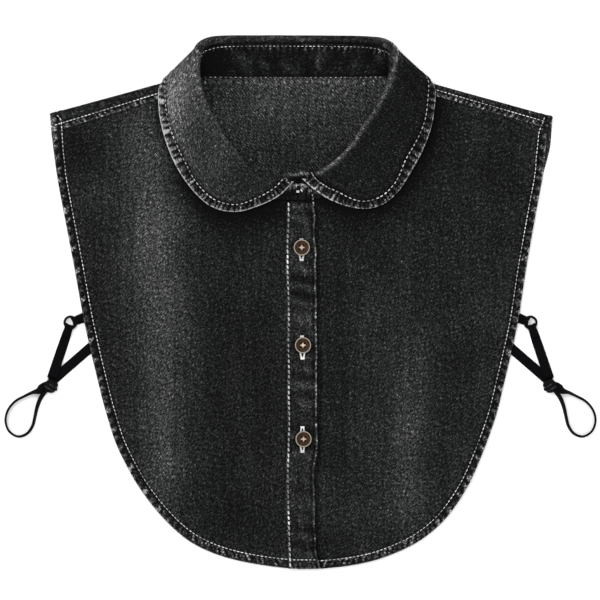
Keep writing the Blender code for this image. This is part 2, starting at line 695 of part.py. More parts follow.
def main():
    clear_scene()
    denim = material("charcoal_denim", (0.022, 0.023, 0.026), 0.9)
    denim_light = material("washed_denim", (0.045, 0.045, 0.05), 0.9)
    horn = material("horn_button", (0.16, 0.09, 0.05), 0.35)
    elastic = material("black_elastic", (0.008, 0.008, 0.008), 0.7)
    ring = material("black_ring", (0.006, 0.006, 0.006), 0.35, 0.2)
    make_back(denim)
    make_front("front_left", -1, denim)
    make_front("front_right", 1, denim)
    make_placket(denim)
    make_collar(denim, denim_light)
    for number, place in enumerate(BUTTON_PLACES, 1):
        make_button("button_" + str(number), place, horn)
    make_elastics("left", -1, elastic, ring)
    make_elastics("right", 1, elastic, ring)


main()
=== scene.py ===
from math import cos, pi, radians, sin

import bpy
import numpy as np
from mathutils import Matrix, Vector, bvhtree, geometry


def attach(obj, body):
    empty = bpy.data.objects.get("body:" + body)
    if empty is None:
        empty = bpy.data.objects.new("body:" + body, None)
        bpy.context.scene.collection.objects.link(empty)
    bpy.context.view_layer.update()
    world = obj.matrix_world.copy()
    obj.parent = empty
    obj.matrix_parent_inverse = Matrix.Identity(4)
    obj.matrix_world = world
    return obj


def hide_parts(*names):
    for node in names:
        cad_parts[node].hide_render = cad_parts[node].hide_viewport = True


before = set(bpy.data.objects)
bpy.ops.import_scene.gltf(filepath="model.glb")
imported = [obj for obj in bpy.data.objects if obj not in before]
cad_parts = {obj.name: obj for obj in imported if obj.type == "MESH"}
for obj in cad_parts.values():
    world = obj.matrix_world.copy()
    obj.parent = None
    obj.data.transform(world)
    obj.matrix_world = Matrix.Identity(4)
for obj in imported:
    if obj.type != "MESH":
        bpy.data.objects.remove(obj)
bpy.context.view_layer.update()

# All lengths below are in millimetres until a mesh is made.
mm = 0.001


# An sRGB hex colour as the linear values that a socket takes
def linear(hexColour):
    parts = [int(hexColour[i:i + 2], 16) / 255 for i in (1, 3, 5)]
    return (*[c / 12.92 if c <= 0.04045 else ((c + 0.055) / 1.055) ** 2.4 for c in parts], 1.0)


def smooth(value):
    value = np.clip(value, 0.0, 1.0)
    return value * value * (3 - 2 * value)


# 1 at zero, falling softly to nothing past about twice the width
def bell(value, width):
    return np.exp(-(value / width) ** 2)


def unit(rows):
    return rows / np.linalg.norm(rows, axis=-1, keepdims=True)


# A smooth curve through the rows, with the same number of steps between each two
def catmull(rows, steps):
    rows = np.asarray(rows, float)
    ends = np.vstack([2 * rows[0] - rows[1], rows, 2 * rows[-1] - rows[-2]])
    t = (np.arange(steps) / steps)[:, None]
    found = []
    for i in range(1, len(ends) - 2):
        a, b, c, d = ends[i - 1:i + 3]
        found.append(0.5 * (2 * b + (c - a) * t + (2 * a - 5 * b + 4 * c - d) * t ** 2
                            + (3 * b - a - 3 * c + d) * t ** 3))
    return np.vstack(found + [rows[-1:]])


def lengths(line):
    return np.concatenate([[0.0], np.cumsum(np.linalg.norm(np.diff(line, axis=0), axis=1))])


def atLengths(line, where, measure=None):
    run = lengths(line) if measure is None else measure
    return np.stack([np.interp(where, run, line[:, k]) for k in range(line.shape[1])], axis=1)


def resample(line, gap):
    line = np.asarray(line, float)
    total = lengths(line)[-1]
    return atLengths(line, np.linspace(0, total, max(2, int(round(total / gap)) + 1)))


# A smooth wandering value between about -1 and 1, from a few sine waves
def wander(x, size, seed):
    rng = np.random.default_rng(seed)
    total = np.zeros_like(np.asarray(x, float))
    for k in range(5):
        total += np.sin(2 * pi * x / (size * rng.uniform(0.6, 1.7)) + rng.uniform(0, 2 * pi))
    return total / 2.6


# The same over a surface
def clouds(x, y, size, seed):
    rng = np.random.default_rng(seed)
    total = np.zeros_like(np.asarray(x, float))
    for k in range(9):
        turn, wave = rng.uniform(0, 2 * pi), size * rng.uniform(0.6, 1.8)
        total += np.sin(2 * pi * (x * cos(turn) + y * sin(turn)) / wave + rng.uniform(0, 2 * pi))
    return total / 3.4


# Distance of points from a line, and how far along it the nearest spot is
def nearest(points, line):
    a, b = line[:-1], line[1:]
    step = b - a
    size = np.maximum((step ** 2).sum(1), 1e-12)
    run = lengths(line)[:-1]
    far, along = [], []
    for part in np.array_split(points, max(1, len(points) // 1500)):
        t = np.clip(((part[:, None] - a) * step).sum(2) / size, 0, 1)
        gap = ((a + t[..., None] * step - part[:, None]) ** 2).sum(2)
        best = gap.argmin(1)
        index = np.arange(len(part))
        far.append(np.sqrt(gap[index, best]))
        along.append(run[best] + t[index, best] * np.sqrt(size[best]))
    return np.concatenate(far), np.concatenate(along)


def inside(points, outline):
    found = np.zeros(len(points), bool)
    for (ax, ay), (bx, by) in zip(outline, np.roll(outline, -1, axis=0)):
        if ay != by:
            crosses = (ay > points[:, 1]) != (by > points[:, 1])
            found ^= crosses & (points[:, 0] < ax + (points[:, 1] - ay) / (by - ay) * (bx - ax))
    return found


def closedLine(outline):
    return np.vstack([outline, outline[:1]])


def ringPoints(count):
    return np.linspace(0, 2 * pi, count, endpoint=False)


# Quads between rings of points, capped at both ends unless the last ring joins the first
def ringFaces(rings, around, first=0, looped=False):
    faces = []
    for i in range(rings if looped else rings - 1):
        here, there = first + i * around, first + (i + 1) % rings * around
        faces += [(here + k, here + (k + 1) % around, there + (k + 1) % around, there + k)
                  for k in range(around)]
    if not looped:
        last = first + (rings - 1) * around
        faces += [tuple(range(first, first + around))[::-1], tuple(range(last, last + around))]
    return faces


def gridFaces(columns, rows):
    first = (np.arange(columns - 1)[:, None] * rows + np.arange(rows - 1)[None, :]).ravel()
    return np.stack([first, first + rows, first + rows + 1, first + 1], axis=1)


def linked(made):
    bpy.context.scene.collection.objects.link(made)
    return made


def addMesh(name, points, faces, material, uv=None, values=None):
    mesh = bpy.data.meshes.new(name)
    mesh.from_pydata((points * mm).tolist(), [], faces if isinstance(faces, list) else faces.tolist())
    corners = np.empty(len(mesh.loops), int)
    mesh.loops.foreach_get("vertex_index", corners)
    if uv is not None:
        mesh.uv_layers.new(name="cloth").data.foreach_set("uv", uv[corners].astype(np.float32).ravel())
    for key, value in (values or {}).items():
        mesh.attributes.new(key, "FLOAT", "POINT").data.foreach_set("value", np.asarray(value, np.float32))
    mesh.materials.append(material)
    mesh.shade_smooth()
    mesh.validate()
    made = linked(bpy.data.objects.new(name, mesh))
    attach(made, "root")
    return made


# A closed shell about a middle surface. Rim points are shared by both faces, so the edge is rounded.
# underWear is the share of the wear that its lower face takes.
def shell(name, middle, normals, faces, rim, above, below, material, uv, values, underWear=1.0):
    count = len(middle)
    other = np.arange(count)
    other[~rim] = count + np.arange((~rim).sum())
    top = middle + normals * above[:, None]
    bottom = (middle - normals * below[:, None])[~rim]
    both = np.vstack([faces, other[faces][:, ::-1]])
    values = {key: np.concatenate([value, value[~rim] * (underWear if key == "wear" else 1)])
              for key, value in values.items()}
    return addMesh(name, np.vstack([top, bottom]), both, material, np.vstack([uv, uv[~rim]]), values)


view = {"centre": (-0.36, 1.44), "width": 432.0, "lens": 250.0, "sensor": 36.0, "plane": 4.0, "farthest": 20}
cameraData = bpy.data.cameras.new("camera")
cameraData.lens = view["lens"]
cameraData.sensor_width = view["sensor"]
cameraData.clip_end = view["farthest"]
camera = linked(bpy.data.objects.new("camera", cameraData))
cameraHeight = view["plane"] + view["width"] * view["lens"] / view["sensor"]
camera.location = Vector((*view["centre"], cameraHeight)) * mm
bpy.context.scene.camera = camera
bpy.context.scene.view_settings.view_transform = "Standard"

# Places and sizes in metres. The key is high at the upper left, the fill is wide and weak at the lower right.
lights = {"keyLight": {"place": (-0.7, 0.85, 1.75), "size": 1.2, "power": 28.0},
          "fillLight": {"place": (1.0, -0.7, 1.6), "size": 1.6, "power": 10.0}}
worldStrength = 1.35
for name, light in lights.items():
    data = bpy.data.lights.new(name, "AREA")
    data.size = light["size"]
    data.energy = light["power"]
    made = linked(bpy.data.objects.new(name, data))
    made.location = light["place"]
    made.rotation_euler = (-Vector(light["place"])).to_track_quat("-Z", "Y").to_euler()
world = bpy.data.worlds.new("paleRoom")
world.use_nodes = True
world.node_tree.nodes["Background"].inputs["Color"].default_value = (1, 1, 1, 1)
world.node_tree.nodes["Background"].inputs["Strength"].default_value = worldStrength
bpy.context.scene.world = world


def newMaterial(name):
    made = bpy.data.materials.new(name)
    made.use_nodes = True
    return made, made.node_tree, made.node_tree.nodes["Principled BSDF"]


# Pale matt paper: even, so that only the part's own soft shade shows on it
floorLook = {"colour": "#e4e4e4", "roughness": 0.9, "half": 4, "drop": 0.0004}
floorMaterial, tree, shader = newMaterial("palePaperFloor")
shader.inputs["Base Color"].default_value = linear(floorLook["colour"])
shader.inputs["Roughness"].default_value = floorLook["roughness"]
floorMesh = bpy.data.meshes.new("floor")
half = floorLook["half"]
floorCorners = [(-half, -half, 0), (half, -half, 0), (half, half, 0), (-half, half, 0)]
floorMesh.from_pydata(floorCorners, [], [(0, 1, 2, 3)])
floorMesh.materials.append(floorMaterial)
floor = linked(bpy.data.objects.new("floor", floorMesh))
floor.location.z = -floorLook["drop"]
print("camera, light and floor made")


def addNode(tree, kind, settings=None, values=None, links=None):
    made = tree.nodes.new(kind)
    for key, value in (settings or {}).items():
        setattr(made, key, value)
    for key, value in (values or {}).items():
        made.inputs[key].default_value = value
    for key, socket in (links or {}).items():
        tree.links.new(socket, made.inputs[key])
    return made


def noise(tree, vector, scale, detail, roughness=0.5, distortion=0.0):
    values = {"Scale": scale, "Detail": detail, "Roughness": roughness, "Distortion": distortion}
    return addNode(tree, "ShaderNodeTexNoise", {}, values, {"Vector": vector}).outputs["Fac"]


def bands(tree, vector, direction, values):
    settings = {"wave_type": "BANDS", "bands_direction": direction}
    return addNode(tree, "ShaderNodeTexWave", settings, values, {"Vector": vector}).outputs["Fac"]


def mapping(tree, vector, turn, scale, kind="POINT"):
    made = addNode(tree, "ShaderNodeMapping", {"vector_type": kind},
                   {"Rotation": (0, 0, turn), "Scale": scale}, {"Vector": vector})
    return made.outputs["Vector"]


def attribute(tree, name):
    return addNode(tree, "ShaderNodeAttribute", {"attribute_name": name}).outputs["Fac"]


# Arithmetic on sockets and plain numbers
def calculate(tree, operation, *terms):
    made = addNode(tree, "ShaderNodeMath", {"operation": operation})
    for term, slot in zip(terms, made.inputs):
        if isinstance(term, (int, float)):
            slot.default_value = term
        else:
            tree.links.new(term, slot)
    return made.outputs[0]


# The first two stops take the ramp's own
def ramped(tree, value, stops):
    ramp = addNode(tree, "ShaderNodeValToRGB", {}, {}, {"Fac": value})
    own = ramp.color_ramp.elements
    for k, (place, colour) in enumerate(stops):
        stop = own[k] if k < 2 else own.new(place)
        stop.position, stop.color = place, linear(colour)
    return ramp.outputs["Color"]


def mixed(tree, share, colour, other):
    made = addNode(tree, "ShaderNodeMix", {"data_type": "RGBA"}, {7: linear(other)}, {0: share, 6: colour})
    return made.outputs[2]


def bumped(tree, shader, height, strength, distance):
    values = {"Strength": strength, "Distance": distance}
    bump = addNode(tree, "ShaderNodeBump", {}, values, {"Height": height})
    tree.links.new(bump.outputs["Normal"], shader.inputs["Normal"])


# Washed charcoal twill: pale weft shows between dark warp yarns, more so where it is worn or faded.
# Its uv is in centimetres of cloth.
def denimMaterial(name, look):
    made, tree, shader = newMaterial(name)
    uv = addNode(tree, "ShaderNodeUVMap", {"uv_map": "cloth"}).outputs["UV"]
    twill = bands(tree, mapping(tree, uv, radians(look["twillAngle"]), (1, 1, 1)), "X",
                  {"Scale": look["twillScale"], "Distortion": 1.6, "Detail": 2.0, "Detail Scale": 2.2})
    # short slubs lie along the twill line and, fewer, across it
    slubs = []
    for angle, size in ((-look["twillAngle"], (0.42, look["slubLength"], 1)),
                        (look["twillAngle"] - 6, (0.45, 1.25, 1))):
        lying = mapping(tree, uv, radians(angle), size, "TEXTURE")
        slubs.append(noise(tree, lying, look["speckScale"] * 0.72, 1.5, 0.55))
    specks = noise(tree, uv, look["speckScale"], 2.5, 0.65)
    coarse = noise(tree, uv, 2.6, 2.0)
    streaks = noise(tree, mapping(tree, uv, 0, (2.4, 0.12, 1)), 1.0, 3.0, 0.6)
    cloudy = noise(tree, uv, 0.28, 3.0, 0.55)
    # wear and painted shade are broken up by the yarns
    broken = calculate(tree, "MULTIPLY_ADD", noise(tree, uv, 5.5, 2.0, 0.6), 2.6, -0.3)
    wear = calculate(tree, "MULTIPLY", attribute(tree, "wear"), broken)
    # Both attributes carry painted shade as well: where they go below zero the cloth is darkened as shadows
    # would darken it
    total = look["base"]
    for socket, strength, middle in ((twill, look["twill"], 0.5), (specks, look["specks"], 0.5),
                                     (slubs[0], look["slubs"], 0.5), (slubs[1], look["slubs"] * 0.6, 0.5),
                                     (coarse, look["coarse"], 0.5), (streaks, look["streaks"], 0.5),
                                     (cloudy, look["clouds"], 0.5), (wear, look["wear"], 0.0),
                                     (attribute(tree, "fade"), look["fade"], 0.0)):
        total = calculate(tree, "MULTIPLY_ADD", calculate(tree, "SUBTRACT", socket, middle), strength, total)
    dark, deep, mid, pale = look["colours"]
    colour = ramped(tree, total, [(0.0, dark), (1.0, pale), (0.33, deep), (0.66, mid)])
    tree.links.new(colour, shader.inputs["Base Color"])
    bumped(tree, shader, calculate(tree, "MULTIPLY_ADD", specks, 0.8, twill), look["bump"], 0.00012)
    shader.inputs["Roughness"].default_value = 0.92
    shader.inputs["Specular IOR Level"].default_value = 0.035
    shader.inputs["Sheen Weight"].default_value = look["sheen"]
    shader.inputs["Sheen Roughness"].default_value = 0.55
    return made


# The twill is drawn at 1 mm, a little coarser than cloth like this, so that it still shows from above.
panelLook = {"twillAngle": 40, "twillScale": 3.1, "twill": 0.16, "speckScale": 8.0, "specks": 1.02,
             "slubs": 1.22, "slubLength": 1.5, "coarse": 0.3, "streaks": 0.24, "clouds": 0.26, "wear": 0.6,
             "fade": 1.0, "base": 0.207, "bump": 0.5, "sheen": 0.012,
             "colours": ("#040404", "#191a1a", "#454546", "#9a999b")}
denim = denimMaterial("charcoalWashedTwill", panelLook)
# The collar's cloth is paler, with softer blotches in place of streaks
collarDenim = denimMaterial("charcoalWashedTwillCollar", {
    **panelLook, "base": 0.25, "streaks": 0.12, "coarse": 0.45})
# The reverse shows more weft: paler, speckled, with a fainter line that leans the other way
insideDenim = denimMaterial("charcoalTwillReverse", {
    **panelLook, "twillAngle": -40, "twillScale": 1.75, "twill": 0.13, "speckScale": 10.0, "specks": 0.95,
    "slubs": 1.45, "slubLength": 1.9, "base": 0.325})


# Off-white cotton sewing thread, two-ply: the twist breaks up its surface, grime dulls it here and there.
def threadMaterial(name, dull, clean):
    made, tree, shader = newMaterial(name)
    place = addNode(tree, "ShaderNodeTexCoord").outputs["Object"]
    soiled = calculate(tree, "SUBTRACT", noise(tree, place, 90.0, 2.0), attribute(tree, "shade"))
    colour = ramped(tree, soiled, [(0.3, dull), (0.62, clean), (0.0, "#33322f")])
    tree.links.new(colour, shader.inputs["Base Color"])
    bumped(tree, shader, noise(tree, place, 2600.0, 1.0), 0.5, 0.00008)
    shader.inputs["Roughness"].default_value = 0.8
    shader.inputs["Specular IOR Level"].default_value = 0.2
    return made


thread = threadMaterial("cottonThread", "#787877", "#c8c8c6")
buttonThread = threadMaterial("buttonThread", "#77685c", "#ab9a89")
buttonholeThread = threadMaterial("buttonholeThread", "#a2a19f", "#cac9c7")


# Black woven elastic: rubber ribs under a knitted cover give fine lengthwise lines.
def elasticMaterial(name, gloss, roughness):
    made, tree, shader = newMaterial(name)
    uv = addNode(tree, "ShaderNodeUVMap", {"uv_map": "cloth"}).outputs["UV"]
    ribs = bands(tree, uv, "X", {"Scale": 4.2, "Distortion": 0.2})
    picks = bands(tree, uv, "Y", {"Scale": 5.2, "Distortion": 0.6})
    height = calculate(tree, "MULTIPLY_ADD", picks, 0.5, ribs)
    cover = ramped(tree, height, [(0.0, "#010101"), (1.0, "#08080a")])
    # The knot's turns take a painted highlight: paler grey where rubbed is set
    tree.links.new(mixed(tree, attribute(tree, "rubbed"), cover, "#3a3a3c"), shader.inputs["Base Color"])
    bumped(tree, shader, height, 0.6, 0.00015)
    shader.inputs["Roughness"].default_value = roughness
    shader.inputs["Specular IOR Level"].default_value = gloss
    return made


elastic = elasticMaterial("wovenElastic", 0.015, 0.6)
# Pulled tight in the knot, the cover shines a little
elasticTight = elasticMaterial("wovenElasticPulledTight", 0.03, 0.4)


# Black enamelled wire, rubbed: the gloss is slightly uneven.
def ringMaterial():
    made, tree, shader = newMaterial("enamelledWire")
    rubbed = noise(tree, addNode(tree, "ShaderNodeTexCoord").outputs["Object"], 700.0, 3.0)
    tree.links.new(ramped(tree, rubbed, [(0.0, "#040404"), (1.0, "#0f0f10")]), shader.inputs["Base Color"])
    gloss = addNode(tree, "ShaderNodeMapRange", {}, {"To Min": 0.22, "To Max": 0.42}, {"Value": rubbed})
    tree.links.new(gloss.outputs["Result"], shader.inputs["Roughness"])
    shader.inputs["Specular IOR Level"].default_value = 0.05
    return made


ringFinish = ringMaterial()


# Polished horn-look polyester: cloudy brown streaks, paler on the raised rim.
def hornMaterial():
    made, tree, shader = newMaterial("hornLookPolyester")
    place = addNode(tree, "ShaderNodeTexCoord").outputs["Object"]
    swirl = noise(tree, mapping(tree, place, 0.5, (1, 0.35, 1)), 420.0, 4.0, distortion=1.6)
    brown = ramped(tree, swirl, [(0.35, "#120903"), (0.68, "#34200b")])
    tree.links.new(mixed(tree, attribute(tree, "rim"), brown, "#81786c"), shader.inputs["Base Color"])
    shader.inputs["Roughness"].default_value = 0.36
    shader.inputs["Specular IOR Level"].default_value = 0.1
    shader.inputs["Coat Weight"].default_value = 0.04
    shader.inputs["Coat Roughness"].default_value = 0.15
    return made


horn = hornMaterial()
print("materials made")


bibSides = [  # y, left edge, right edge
    (118.0, 179.1, 177.4), (91.4, 175.5, 174.6), (69.8, 171.6, 170.7), (26.6, 163.3, 163.0),
    (-16.6, 155.3, 156.2), (-59.8, 145.3, 146.4), (-81.4, 139.6, 141.0), (-103.0, 132.5, 133.5),
    (-124.6, 121.7, 124.6), (-136.0, 114.5, 118.6), (-146.2, 107.0, 112.1), (-156.0, 98.5, 104.6),
    (-164.4, 90.0, 96.0), (-171.9, 80.6, 86.0), (-177.6, 70.4, 75.6), (-182.1, 59.6, 65.2),
    (-185.7, 47.4, 54.8), (-188.5, 33.9, 43.3), (-190.6, 20.0, 30.4), (-192.2, 5.0, 14.4)]


def sideName(sign):
    return "left" if sign < 0 else "right"


def sideLine(sign):
    table = np.array(bibSides)
    return catmull(np.stack([table[:, 1 if sign < 0 else 2], table[:, 0]], axis=1), 12)


# Side elastics: tab, ring, two straps, loop and knot on each side.
# Route points repeat the CAD's, for the left side; the right side mirrors them.
elastics = {"nominal": 6.0, "width": 7.1, "thick": 1.0, "reach": 9.0, "under": 0.25, "rightWider": 0.8,
            "tab": ((-156.45, -11.3), (-161.7, -13.3)), "upper": ((-179.3, -55.2), (-167.1, -18.9)),
            "lower": ((-151.75, -33.1), (-179.9, -57.6)), "tabBack": 2.0, "upperBack": 7.0,
            "squeeze": 0.92, "slack": 0.5, "loopThick": 1.3, "loopNarrow": 0.38}
ringShape = {"place": (-165.7, -14.8), "radius": 4.25, "wire": 0.92, "around": 48, "wireSides": 14}
knotShape = {"place": (-179.6, -60.5), "size": (5.2, 5.2, 3.1), "lift": 1.25, "around": 40, "rings": 26}
loopRoute = [  # x, y, rise of the lower edge, lean from flat (0) to on its edge (90)
    (-182.4, -60.6, 1.9, 0), (-185.0, -61.7, 1.2, 4), (-188.5, -63.8, 0.6, 40), (-193.3, -65.2, 0.1, 69),
    (-198.6, -67.7, 0.05, 78), (-205.6, -71.6, 0.05, 80), (-210.8, -78.0, 0.05, 80),
    (-212.5, -85.6, 0.05, 80), (-210.0, -93.0, 0.05, 80), (-203.6, -96.9, 0.05, 80),
    (-197.0, -94.8, 0.05, 79), (-193.0, -89.2, 0.05, 77), (-191.3, -82.6, 0.05, 75),
    (-189.9, -76.3, 0.05, 69), (-187.8, -70.4, 0.1, 62), (-185.4, -66.4, 0.2, 60), (-183.2, -63.6, 0.5, 58)]
flatHeight = elastics["thick"] / 2 + 0.05
turnRadius = ringShape["wire"] + 0.3 + elastics["thick"] / 2 + 0.05
ringHeight = flatHeight + turnRadius
# Half of the band's cross-section: flat faces, with edges that round off over 0.4 mm
bandSection = [(-1, 0), (-0.96, 0.62), (-0.86, 0.95), (-0.6, 1), (-0.3, 1), (0, 1), (0.3, 1), (0.6, 1),
               (0.86, 0.95), (0.96, 0.62), (1, 0)]


# A band with rounded edges along a path. wide gives the direction of its width at each point.
def bandMesh(name, path, wide, widths, reshape=None, thickness=elastics["thick"]):
    along = unit(np.gradient(path, axis=0))
    wide = unit(wide - along * (wide * along).sum(1)[:, None])
    thick = np.cross(along, wide)
    section = np.array(bandSection + [(a, -h) for a, h in bandSection[-2:0:-1]])
    count = len(section)
    points = (path[:, None] + wide[:, None] * (section[:, 0] * 0.5)[None, :, None] * widths[:, None, None]
              + thick[:, None] * (section[:, 1] * thickness / 2)[None, :, None])
    if reshape:
        points = reshape(points.reshape(-1, 3)).reshape(points.shape)
    uv = np.stack([np.broadcast_to(section[:, 0] * 0.3, (len(path), count)),
                   np.broadcast_to((lengths(path) / 10)[:, None], (len(path), count))], axis=2)
    return addMesh(name, points.reshape(-1, 3), ringFaces(len(path), count), elastic,
                   uv.reshape(-1, 2))


# A point of the left side in the plan, at a height, on the side that sign says
def mirroredPoint(place, sign, height=0.0):
    return np.array([-sign * place[0], place[1], height])


# A strap's ends, and the directions along and across it
def strapAxes(start, end, sign, height=0.0):
    a, b = mirroredPoint(start, sign, height), mirroredPoint(end, sign, height)
    along = unit(b - a)
    return a, b, along, np.array([-along[1], along[0], 0])


# Where a strap goes round the ring it follows the bent wire, so it draws in and its end is hollow.
def wrapped(start, end, sign):
    _, b, along, across = strapAxes(start, end, sign)
    wireSpot = b + along * elastics["slack"]
    radius = ringShape["radius"]

    def reshape(points):
        out, side = (points - wireSpot) @ along, (points - wireSpot) @ across
        turn = np.arcsin(np.clip(side / radius, -0.95, 0.95))
        share = smooth((out + 6.0) / 5.5)
        newOut = radius - (radius - out) * np.cos(turn)
        return points + along * (share * (newOut - out))[:, None] - across * (0.12 * share * side)[:, None]

    return reshape


# The end that is caught under the bib's edge is cut along that edge.
def caught(start, end, sign):
    a, _, along, across = strapAxes(start, end, sign)
    edge = sideLine(sign) * np.array([sign, 1]) - a[:2]
    sides, outs = edge @ across[:2], edge @ along[:2]
    close = np.abs(sides) < 12
    order = np.argsort(sides[close])

    def reshape(points):
        out, side = (points - a) @ along, (points - a) @ across
        begin = np.interp(side, sides[close][order], outs[close][order]) - elastics["under"]
        share = np.clip(1 - out / elastics["reach"], 0, 1)
        return points + along * (begin * share)[:, None]

    return reshape


# A flat strap between two plan points, its start raised. With a turn-back, its end goes up round the ring's
# wire and lies back on itself for that length.
def strapPath(start, end, sign, turnBack=0.0, raised=0.0):
    a, b, along, across = strapAxes(start, end, sign, flatHeight)
    up = np.array([0, 0, 1.0])
    t = np.linspace(0, 1, 17)
    line = a + (b - a) * t[:, None] + up * (raised * smooth(1.25 - t * 1.6))[:, None]
    width = np.full(17, elastics["width"])
    if turnBack:
        squeeze = elastics["squeeze"]
        width = elastics["width"] * (1 - (1 - squeeze) * smooth((t - 0.55) / 0.45))
        turn = np.linspace(0, pi, 13)[1:]
        hook = line[-1] + along * (elastics["slack"] + turnRadius * np.sin(turn))[:, None] \
            + up * (turnRadius * (1 - np.cos(turn)))[:, None]
        share = np.linspace(0, 1, 7)
        tail = hook[-1] - along * np.linspace(0, turnBack, 8)[1:, None] - up * (0.45 * share ** 2)[:, None]
        line = np.vstack([line, hook, tail])
        width = np.concatenate([width, elastics["width"] * squeeze * np.ones(12),
                                elastics["width"] * squeeze * (1 - 0.16 * share)])
    return line, np.tile(across, (len(line), 1)), width


def ringMesh(name, sign):
    around, wire = ringShape["around"], ringShape["wireSides"]
    u, v = ringPoints(around)[:, None], ringPoints(wire)[None, :]
    reach = ringShape["radius"] + ringShape["wire"] * np.cos(v)
    centre = mirroredPoint(ringShape["place"], sign, ringHeight)
    points = np.stack([centre[0] + reach * np.cos(u), centre[1] + reach * np.sin(u),
                       centre[2] + ringShape["wire"] * np.sin(v) + 0 * u], axis=2)
    return addMesh(name, points.reshape(-1, 3), ringFaces(around, wire, looped=True), ringFinish)


# The knot: the doubled band pulled tight, with the turns of the band showing as ridges.
def knotMesh(name, sign):
    around, rings = knotShape["around"], knotShape["rings"]
    u, v = ringPoints(around)[None, :], np.linspace(0.02, pi - 0.02, rings)[:, None]
    ball = np.stack([np.sin(v) * np.cos(u), np.sin(v) * np.sin(u), np.cos(v) + 0 * u], axis=2).reshape(-1, 3)
    ball = ball * np.abs(ball).max(axis=1)[:, None] ** -0.25
    x, y = ball[:, 0], ball[:, 1]
    # two crossing turns, with grooves between them
    slant = y * 0.9 + x * 0.55
    turns = 1 - 0.16 * bell(slant - 0.32, 0.11) - 0.16 * bell(slant + 0.38, 0.11)
    turns -= 0.08 * bell(x - y * 0.4, 0.12) * (np.abs(slant) < 0.3)
    size = np.array(knotShape["size"])
    shaped = ball * turns[:, None] * 0.97 * size * np.array([-sign, 1, 1])
    points = shaped + mirroredPoint(knotShape["place"], sign, size[2] + 0.1)
    # painted highlight: the turns' edges are drawn paler, as if they caught the light
    rubbed = bell(slant - 0.16, 0.07) * (x > -0.2) + bell(slant + 0.52, 0.06) * 0.8
    rubbed = rubbed * (0.6 + 0.5 * wander(x * 5 + y * 3, 2.2, 31)) * (ball[:, 2] > 0.1)
    return addMesh(name, points, ringFaces(rings, around), elasticTight,
                   np.stack([x * 0.45, y * 0.5], axis=1), {"rubbed": np.clip(rubbed, 0, 1)})


# The right panel is a little wider, so its bands start further out.
def panelStart(place, towards, sign):
    return np.array(place) + unit(np.subtract(towards, place)) * (elastics["rightWider"] if sign > 0 else 0)


# The loop lies flat at the knot and stands on its edge further out.
def loopPath(sign):
    route = catmull(loopRoute, 6)
    rise, lean = np.maximum(route[:, 2], 0.05), np.radians(np.clip(route[:, 3], 0, 90))
    # the band is drawn tight where it stands on its edge, so it is a little narrower there
    widths = elastics["width"] * (1 - elastics["loopNarrow"] * smooth((np.degrees(lean) - 20) / 50))
    height = widths / 2 * np.sin(lean) + elastics["loopThick"] / 2 * np.cos(lean) + rise
    path = np.stack([-sign * route[:, 0], route[:, 1], height], axis=1)
    ahead = unit(np.gradient(path[:, :2], axis=0))
    wide = np.stack([-ahead[:, 1] * np.cos(lean), ahead[:, 0] * np.cos(lean), np.sin(lean)], axis=1)
    if sign > 0:
        wide[:, :2] *= -1
    return path, wide, widths


def makeElastics(sign):
    side = sideName(sign)

    def standIn(piece, node):
        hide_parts(node + "_" + side)
        return piece

    def strap(kind, path, wide, widths, reshape=None, thickness=elastics["thick"]):
        return bandMesh(kind + side.title(), path, wide, widths, reshape, thickness)

    tabEnds = (panelStart(*elastics["tab"], sign), elastics["tab"][1], sign)
    atRing, atEdge = wrapped(*tabEnds), caught(*tabEnds)
    tabPath = strapPath(*tabEnds, elastics["tabBack"])
    tab = standIn(strap("elasticTab", *tabPath, lambda points: atRing(atEdge(points))), "tab")
    ring = standIn(ringMesh("ring" + side.title(), sign), "ring")
    knot = standIn(knotMesh("knot" + side.title(), sign), "knot")
    path = strapPath(*elastics["upper"], sign, elastics["upperBack"], knotShape["lift"])
    upper = standIn(strap("strapUpper", *path, wrapped(*elastics["upper"], sign)), "strap_upper")
    lowerEnds = (panelStart(*elastics["lower"], sign), elastics["lower"][1], sign)
    path = strapPath(*lowerEnds)
    lower = standIn(strap("strapLower", *path, caught(*lowerEnds)), "strap_lower")
    path = loopPath(sign)
    loop = standIn(strap("strapLoop", *path, thickness=elastics["loopThick"]), "strap_loop")


makeElastics(-1)
makeElastics(1)
print("elastics made")


cloth = {"thick": 1.2, "gap": 0.3, "settle": 0.1, "collarWall": 1.8, "standWall": 1.5, "placketWall": 1.6,
         "collarAxis": -2.7, "fieldThinner": 0.2}
layer = cloth["thick"] + cloth["gap"]
foldRadius = layer
# The collar's layers behind the neck lift the back panel there
lift = {"height": cloth["collarWall"] + cloth["gap"] + 2 * cloth["settle"], "startY": 112, "fullY": 142,
        "fullX": 99, "endX": 129}
shoulders = {-1: {"tip": (-180.4, 133.8), "neck": (-82.7, 160.4),
                  "fellTip": (-179.6, 123.4), "fellNeck": (-84.7, 152.4)},
             1: {"tip": (181.4, 131.6), "neck": (78.4, 160.1),
                 "fellTip": (180.4, 125.6), "fellNeck": (79.3, 154.8)}}
panelShape = {"backShow": 3.6, "backInset": 0.4, "openingX": -2.6, "outlineStep": 1.3,
              "frontLattice": 3.0, "backLattice": 3.2,
              "rings": (0.22, 0.6, 1.1, 1.9, 2.9, 3.9, 4.9, 5.6, 6.2, 7.1, 8.2, 9.4, 10.8)}
hem = {"width": 9.6, "stitchIn": 5.8, "rise": 0.32, "pucker": 0.34, "groove": 0.3}
hemLook = {"pitch": 7.4, "band": hem["stitchIn"], "slant": 0.3, "reach": 4.3, "gain": 0.95, "share": 0.6,
           "line": 0.5, "narrow": 0.05, "spots": 0.0, "mottle": 0.5, "uneven": 0.6}
stitchLook = {"pitch": 2.9, "length": 2.4, "width": 0.6, "height": 0.36, "shade": 0.04, "slope": 0.0,
              "lead": 0.6}
stitchLines = {}  # name: points, surface directions, changes to the stitch's look
# Close rows along an end, so that its rounding is smooth
endSteps = np.array([0, 0.2, 0.5, 0.95, 1.5])


